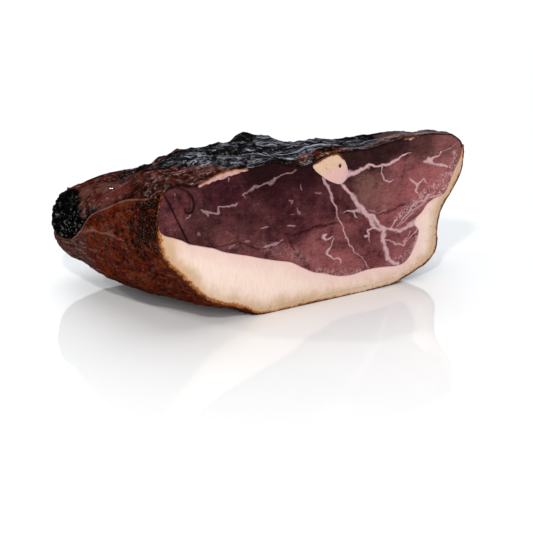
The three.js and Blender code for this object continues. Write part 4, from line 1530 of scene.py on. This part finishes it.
@dataclass
class LeanMeat:
    """The lean: its cut face, the dried crust above it, and its hidden side against the fat."""

    node: str = "lean_meat"
    slot: str = "lean"
    socket_depth: float = 35.0
    socket_share: float = 0.93
    rim_soft: tuple[float, float] = (0.2, 2.5)
    seam_wander: float = 1.3
    wrinkle_scale: float = 30.0

    def build(self, surfaces: Surfaces) -> bpy.types.Object:
        """Make the piece.

        Args:
            surfaces: The ham's surfaces.

        Returns:
            The piece.
        """
        work = MeshWork()
        self.add_face(work, surfaces)
        crust = self.add_crust(work, surfaces)
        hidden = work.add_grid(surfaces.hidden(), Skin.OUTSIDE)
        line = work.add_points(FORM.place(*surfaces.line.T, np.zeros(len(surfaces.line))))
        work.add_zip(line, hidden[0], Skin.OUTSIDE)
        work.add_zip(crust[:, 0], hidden[:, -1], Skin.OUTSIDE)
        work.add_zip(crust[:, -1], hidden[:, 0], Skin.OUTSIDE)
        loop = np.concatenate([crust[-1], hidden[-1], crust[-1][:1]])
        points = np.vstack(work.points)[loop]
        tip = work.add_points(points.mean(axis=0)[None])
        work.add_fan(loop, tip[0], Skin.OUTSIDE)
        return work.build("lean_cut_and_crust", [LeanFinish().make(), CrustFinish().make()])

    def add_face(self, work: MeshWork, surfaces: Surfaces) -> None:
        """Add the cut face: its inside is blended from its four sides (a Coons patch).

        Args:
            work: The mesh to add to.
            surfaces: The ham's surfaces.
        """
        rows, columns, line = surfaces.side_columns, surfaces.columns, surfaces.line
        right, left = line[rows::-1], line[rows + columns:]
        bottom = line[rows:rows + columns + 1][::-1]
        across = np.linspace(0.0, 1.0, columns + 1)[None, :, None]
        up = np.linspace(0.0, 1.0, rows + 1)[:, None, None]
        sides = left[:, None] * (1 - across) + right[:, None] * across
        ends = bottom[None] * (1 - up) + surfaces.top[None] * up
        corners = ((1 - up) * ((1 - across) * bottom[0] + across * bottom[-1])
                   + up * ((1 - across) * surfaces.top[0] + across * surfaces.top[-1]))
        grid = sides + ends - corners
        grid[0], grid[-1] = bottom, surfaces.top
        grid[:, 0], grid[:, -1] = left, right
        u, z = grid[..., 0], grid[..., 1]
        rim = distance(surfaces.top[::3], u, z)
        blob = blob_reach(u, z)
        relief = surfaces.face_relief(u, z, ease(*self.rim_soft, rim)) * ease(1.0, 1.25, blob)
        relief[-1] = relief[:, 0] = relief[:, -1] = 0.0
        relief[0] = surfaces.face_relief(bottom[:, 0], bottom[:, 1], 1.0)
        relief[0, 0] = relief[0, -1] = 0.0
        inside = np.clip(1.0 - (blob / self.socket_share) ** 6, 0.0, 1.0)
        points = FORM.on_cut(u, z, relief + self.socket_depth * np.sqrt(inside))
        noise = surfaces.face_noise
        bent_u = u + self.seam_wander * noise.layers(u / 6.0, z / 6.0, 2.0, 4)
        bent_z = z + self.seam_wander * noise.layers(u / 6.0, z / 6.0, 8.0, 4)
        near, side, tone = PALES.measure(bent_u, bent_z)
        dark, _, strength = DARKS.measure(u, z)
        red, _, redness = REDS.measure(bent_u, bent_z)
        speckle, _, amount = SPECKLES.measure(u, z)
        warm, smoky, tan = tones(u + 3.0 * noise.at(u / 12.0, z / 12.0, 0.0), z)
        smoky = np.maximum(smoky, 0.8 * ease(3.0, 0.3, rim) * ease(140.0, 110.0, u))
        # score carries the painted shade of the knife scores.
        work.add_grid(
            points, Skin.CUT, rim=rim, warm=warm, smoky=smoky, tan=tan, seam_side=np.clip(side, -5, 5),
            seam_near=np.clip(near, 0, 5), seam_tone=tone, score=strength * ease(1.8, 0.5, dark),
            redline=redness * ease(2.0, 0.3, red), speckle=amount * ease(1.1, 0.4, speckle),
            strip=ease(1.15, 0.75, STRIP.gap(bent_u, bent_z)),
        )

    def add_crust(self, work: MeshWork, surfaces: Surfaces) -> Array:
        """Add the crust, and give its point numbers.

        Args:
            work: The mesh to add to.
            surfaces: The ham's surfaces.

        Returns:
            The points' numbers.
        """
        depth = np.broadcast_to(surfaces.depths[:, None], (surfaces.depth_count, surfaces.columns + 1))
        share = surfaces.crust_shares(surfaces.depths)
        u, z, height = surfaces.crust(share, depth)
        arc = from_left_lip(share, depth)
        lobe = 38.0 + 8.0 * ease(44.0, 30.0, depth) + 5.0 * ease(25.0, 14.0, depth) - arc
        lobe = lobe + 110.0 * ease(46.0, 62.0, depth)
        over_knot = np.minimum(9.0 - depth - 0.3 * np.maximum(np.abs(u - 53.0) - 14.0, 0.0), -0.8)
        right_edge = 3.0 - depth - 0.5 * np.maximum(np.abs(u - 115.0) - 12.0, 0.0)
        streaks = 15.0 * ease(34.0, 14.0, depth) * hump(arc, 13.0, 9.0)
        brown = np.maximum(np.maximum(lobe - streaks, over_knot), right_edge)
        across, along = wrinkle_flow(share, depth)
        by_knot = ease(12.0, 5.0, depth) * ease(34.0, 20.0, np.abs(u - 47.0))
        # Amount of painted sheen on the crust's crests: more towards the right, less by the knot and on the
        # small knobs.
        polish = 0.22 * ease(15.0, 60.0, u) - 0.5 * by_knot
        for mid_u, mid_d, radius, _ in FORM.knobs:
            if radius < FORM.small_knob:
                polish = polish - 0.8 * ease(1.1, 0.6, np.hypot(u - mid_u, depth - mid_d) / radius)
        wet = hump(arc, 10.0, 5.0) * ease(45.0, 55.0, depth) * ease(86.0, 76.0, depth)
        return work.add_grid(
            FORM.place(u, z, depth), Skin.OUTSIDE, height=height, polish=polish,
            brown=np.clip(brown, -30.0, 30.0), tip=surfaces.burnt(share, depth),
            crumbs=ease(5.0, 1.0, depth) * ease(15.0, 9.0, np.abs(u - 60.0)),
            soft=ease(50.0, 66.0, depth) * ease(95.0, 60.0, arc),
            wet=wet + hump(u, 42.0, 5.0) * ease(8.0, 4.0, depth),
            dusty=ease(96.0, 112.0, u) * ease(24.0, 8.0, depth),
            # The painted sheen on the crests fades towards the back.
            sheen=0.14 + 0.86 * ease(66.0, 32.0, depth),
            across=self.wrinkle_scale * across, along=self.wrinkle_scale * along,
        )


@dataclass
class FatLayer:
    """The fat: its cut face round the lean, the smoked rind outside it, and the rind's lips."""

    node: str = "fat_layer"
    slot: str = "fat"
    rows_to_skin: float = 1.3
    rim_soft: tuple[float, float] = (0.2, 2.5)

    def build(self, surfaces: Surfaces) -> bpy.types.Object:
        """Make the piece.

        Args:
            surfaces: The ham's surfaces.

        Returns:
            The piece.
        """
        work = MeshWork()
        shares = 1.0 - (1.0 - np.linspace(0.0, 1.0, surfaces.strip_rows + 1)) ** self.rows_to_skin
        line = self.add_strip(work, surfaces, shares)
        skin, points = self.add_rind(work, surfaces)
        hidden = work.add_grid(surfaces.hidden(), Skin.OUTSIDE)
        work.add_zip(line, hidden[0], Skin.OUTSIDE)
        work.add_zip(skin[-1], hidden[-1], Skin.OUTSIDE)
        depth = surfaces.depths[:, None]
        for side, share in ((0, np.full_like(depth, FORM.right_lip)), (-1, FORM.left_lip(depth))):
            u, z, _ = surfaces.crust(share, depth)
            wall = blend(FORM.place(u, z, depth), points[:, side][:, None], shares[None, :, None])
            wall[:, -1] = points[:, side]
            # The lip walls take part of the painted highlight line (fold).
            numbers = work.add_grid(wall, Skin.OUTSIDE, fold=0.4, dark=0.3)
            work.add_zip(numbers[:, 0], hidden[:, side], Skin.OUTSIDE)
            work.add_fan(numbers[-1], hidden[-1, side], Skin.OUTSIDE)
        return work.build("fat_and_rind", [FatFinish().make(), RindFinish().make()])

    def add_strip(self, work: MeshWork, surfaces: Surfaces, shares: Array) -> Array:
        """Add the cut face between the fat line and the skin, and give the fat line's numbers.

        Args:
            work: The mesh to add to.
            surfaces: The ham's surfaces.
            shares: Share of the way to the skin of each row.

        Returns:
            The numbers of the points on the fat line.
        """
        grid = blend(surfaces.line[None], surfaces.rim[None], shares[:, None, None])
        grid[0], grid[-1] = surfaces.line, surfaces.rim
        u, z = grid[..., 0], grid[..., 1]
        skin_gap = distance(surfaces.rim[::3], u, z)
        lean_gap = distance(surfaces.line[::2], u, z)
        relief = surfaces.face_relief(u, z, ease(*self.rim_soft, skin_gap))
        relief[0] = surfaces.face_relief(u[0], z[0], 1.0)
        relief[-1] = relief[:, 0] = relief[:, -1] = 0.0
        relief[0, :surfaces.side_columns + 1] = relief[0, surfaces.side_columns + surfaces.columns:] = 0.0
        yellow = 0.42 * ease(-35.0, -75.0, u) + 0.10 * ease(135.0, 158.0, u)
        yellow = yellow + 0.13 * ease(70.0, 40.0, u) - 0.13 * hump(u, 100.0, 30.0)
        sliver = ease(74.0, 80.0, z) * ease(-60.0, -66.0, u)
        melt = 0.20 + 0.24 * ease(85.0, 40.0, u) + 0.56 * ease(12.0, -22.0, u)
        melt = (melt + 0.12 * ease(110.0, 140.0, u)) * (1.0 - 0.7 * sliver)
        skin_gap = blend(skin_gap, 0.5, sliver)
        return work.add_grid(FORM.on_cut(u, z, relief), Skin.CUT, skin_gap=skin_gap, lean_gap=lean_gap,
                             yellow=yellow, melt=melt)[0]

    def add_rind(self, work: MeshWork, surfaces: Surfaces) -> tuple[Array, Array]:
        """Add the rind, and give its point numbers and points.

        Args:
            work: The mesh to add to.
            surfaces: The ham's surfaces.

        Returns:
            The points' numbers, and the points.
        """
        share = surfaces.skin_shares(surfaces.depths)
        depth = np.broadcast_to(surfaces.depths[:, None], share.shape)
        u, z, height = surfaces.rind(share, depth)
        below = below_left_lip(share, depth)
        left = left_side(u)
        wander = 1.5 * surfaces.rind_noise.layers(depth / 9.0, z / 9.0, u / 9.0, 2)
        # edge and dark: the smoked patch, darker towards the bottom of the left side, and painted shade that
        # keeps the raised relief less dark than its hollows.
        edge = ease(26.0, 6.0, z) * left
        dark = 1.1 * surfaces.smoked(u, z, depth) + 0.7 * edge - 0.5 * ease(0.0, 1.2, height)
        tip = ease(66.0, 96.0, depth + 0.25 * (40.0 - z)) * left
        # fold: where the painted highlight line goes, along the edge under the left lip and on the crest of
        # the low ridge.
        fold = 0.7 * hump(below + 0.5 * wander, 0.7, 0.8) * ease(114.0, 92.0, depth)
        fold = fold + 0.7 * hump(RIDGES.gap(depth, z + wander), 0.0, 0.8) * left
        points = FORM.place(u, z, depth)
        return work.add_grid(points, Skin.OUTSIDE, dark=dark, fold=fold, tip=tip), points


@dataclass
class SeamFat:
    """The soft seam fat between the two big muscles: a low bulge on the cut, and its root.

    Its rings are the outline shrunk about its middle. The root's narrow as an ellipse does with
    depth, and the cap's stand out by 1 - share^4, with lumps of noise that fade at its edge.
    """

    node: str = "seam_fat"
    slot: str = "seam"
    outline_points: int = 160
    cap_rings: int = 40
    root_rings: int = 16
    root_depth: float = 34.0
    root_share: float = 0.84
    edge_ahead: float = 0.12
    bulge: float = 0.45

    def build(self, surfaces: Surfaces) -> bpy.types.Object:
        """Make the piece.

        Args:
            surfaces: The ham's surfaces.

        Returns:
            The piece.
        """
        outline = smooth_curve(BLOB, self.outline_points, closed=True)
        middle = outline.mean(axis=0)
        outline = np.vstack([outline, outline[:1]])
        cap = np.linspace(1.0, 0.0, self.cap_rings)[:, None]
        root = np.linspace(0.0, 1.0, self.root_rings)[::-1, None]
        narrow = self.root_share * np.sqrt(1.0 - (0.96 * root) ** 2)
        scale = np.vstack([narrow, np.ones((1, 1)), cap])
        across, up = np.moveaxis(middle + (outline - middle)[None] * scale[..., None], -1, 0)
        lumps = surfaces.face_noise.layers(across / 5.0, up / 5.0, 0.0, 3)[-self.cap_rings:]
        front = -self.edge_ahead - self.bulge * (1.0 - cap**4) - 0.22 * (lumps + 0.4) * (1.0 - cap**3)
        back = np.vstack([self.root_depth * root, np.full((1, 1), -0.02)])
        depth = np.vstack([np.broadcast_to(back, (len(back), len(outline))), front])
        points = FORM.on_cut(across, up, depth)
        # Where the painted shade of the small pit goes; the surface has no dent there.
        pit = np.hypot(across - 67.6, (up - 99.0) * 0.7) / 1.3
        work = MeshWork()
        numbers = work.add_grid(
            points, Skin.CUT, high=ease(91.0, 103.0, up - 0.35 * (across - middle[0])),
            pit=ease(1.1, 0.6, pit), crumbs=ease(0.70, 1.02, scale) * ease(98.0, 105.0, up),
        )
        tip = work.add_points(points[0, :-1].mean(axis=0)[None])
        work.add_fan(numbers[0], tip[0], Skin.CUT)
        return work.build("seam_fat_knot", [SeamFatFinish().make()])


# Name, place, width and height, power and colour of each lamp.
LAMPS = [
    ("small_lamp", (-0.75, -0.95, 1.15), (0.12, 0.12), 9.0, (1.0, 0.98, 0.95)),
    ("edge_lamp", (-1.13, 0.66, 1.0), (0.09, 0.09), 4.0, (1.0, 0.98, 0.96)),
    ("front_softbox", (-0.35, -1.7, 0.75), (1.6, 1.0), 12.5, (1.0, 1.0, 1.0)),
    ("left_softbox", (-1.7, -0.5, 0.8), (1.4, 1.0), 5.0, (1.0, 1.0, 1.0)),
    ("back_panel", (1.2, 1.95, 0.9), (3.2, 1.7), 22.0, (0.90, 0.95, 1.0)),
]


@dataclass(frozen=True)
class Studio:
    """A plain pale floor, soft lights and a camera at the angle of the photograph."""

    turn_deg: float = 31.3
    raise_deg: float = 20.0
    distance: float = 1.1
    lens: float = 105.54
    across_px: float = 257.0 - PHOTO_WIDTH / 2
    down_px: float = 315.7 - PHOTO_HEIGHT / 2
    floor_reach: float = 6.0
    aim_height: float = 0.05
    world_strength: float = 0.16
    sky_strength: float = 1.35
    sky_spread_deg: float = 60.0

    def build(self) -> None:
        """Add the floor, the lights and the camera."""
        self.add_floor()
        self.add_world()
        for name, place, size, power, colour in LAMPS:
            data = bpy.data.lights.new(name, "AREA")
            data.shape = "RECTANGLE"
            data.size, data.size_y = size
            data.energy, data.color = power, colour
            self.add_light(data, Vector((0.0, 0.0, self.aim_height)) - Vector(place)).location = place
        self.add_sky()
        self.add_camera()

    def add_floor(self) -> None:
        """Add a wide white floor that mirrors a little."""
        mesh = bpy.data.meshes.new("floor")
        far = self.floor_reach
        corners = [(-far, -far, 0.0), (far, -far, 0.0), (far, far, 0.0), (-far, far, 0.0)]
        mesh.from_pydata(corners, [], [(0, 1, 2, 3)])
        floor = add_object("floor", mesh)
        paint = Recipe("pale_floor")
        colour = paint.mix(paint.noise(900.0, 1.0), (0.93, 0.93, 0.935), (0.95, 0.95, 0.95))
        mesh.materials.append(paint.finish(colour, 0.06))

    def add_world(self) -> None:
        """Light the scene evenly with white."""
        world = bpy.data.worlds.new("soft_white")
        world.use_nodes = True
        background = world.node_tree.nodes["Background"]
        background.inputs["Color"].default_value = (1.0, 1.0, 1.0, 1.0)
        background.inputs["Strength"].default_value = self.world_strength
        bpy.context.scene.world = world
        bpy.context.scene.view_settings.view_transform = "Standard"

    def add_light(self, data: bpy.types.Light, aim: Vector) -> bpy.types.Object:
        """Add a light that shines in a direction.

        Args:
            data: The light's settings.
            aim: The direction.

        Returns:
            The light.
        """
        light = add_object(data.name, data)
        light.rotation_euler = aim.to_track_quat("-Z", "Y").to_euler()
        return light

    def add_sky(self) -> None:
        """Add a wide, slightly blue light from above, so soft that it throws no edge."""
        data = bpy.data.lights.new("sky", "SUN")
        data.energy, data.color = self.sky_strength, (0.93, 0.97, 1.0)
        data.angle = math.radians(self.sky_spread_deg)
        self.add_light(data, Vector((-0.15, -0.3, -1.0)))

    def add_camera(self) -> None:
        """Add the camera, so that the face's lower corner falls on its place in the picture."""
        data = bpy.data.cameras.new("camera")
        data.lens = self.lens
        camera = add_object("camera", data)
        turn = Matrix.Rotation(math.radians(-self.turn_deg), 4, "Z")
        frame_turn = turn @ Matrix.Rotation(math.radians(90.0 - self.raise_deg), 4, "X")
        pixels = self.lens / data.sensor_width * PHOTO_HEIGHT
        offset = Vector((self.across_px / pixels, -self.down_px / pixels, -1.0)) * self.distance
        corner = Vector((CORNER_ACROSS, CAD_BOX[0][1], 0.0))
        camera.matrix_world = Matrix.Translation(corner - frame_turn @ offset) @ frame_turn
        bpy.context.scene.camera = camera


def main() -> None:
    """Build the ham's pieces and the studio, and report each."""
    logging.basicConfig(level=logging.INFO, format="%(name)s: %(message)s")
    surfaces = Surfaces()
    for part in (LeanMeat(), FatLayer(), SeamFat()):
        piece = part.build(surfaces)
        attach(piece, "root")
        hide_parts(part.node)
        LOG.info("%s: %d points, %d faces", piece.name, len(piece.data.vertices), len(piece.data.polygons))
    Studio().build()


if __name__ == "__main__":
    main()
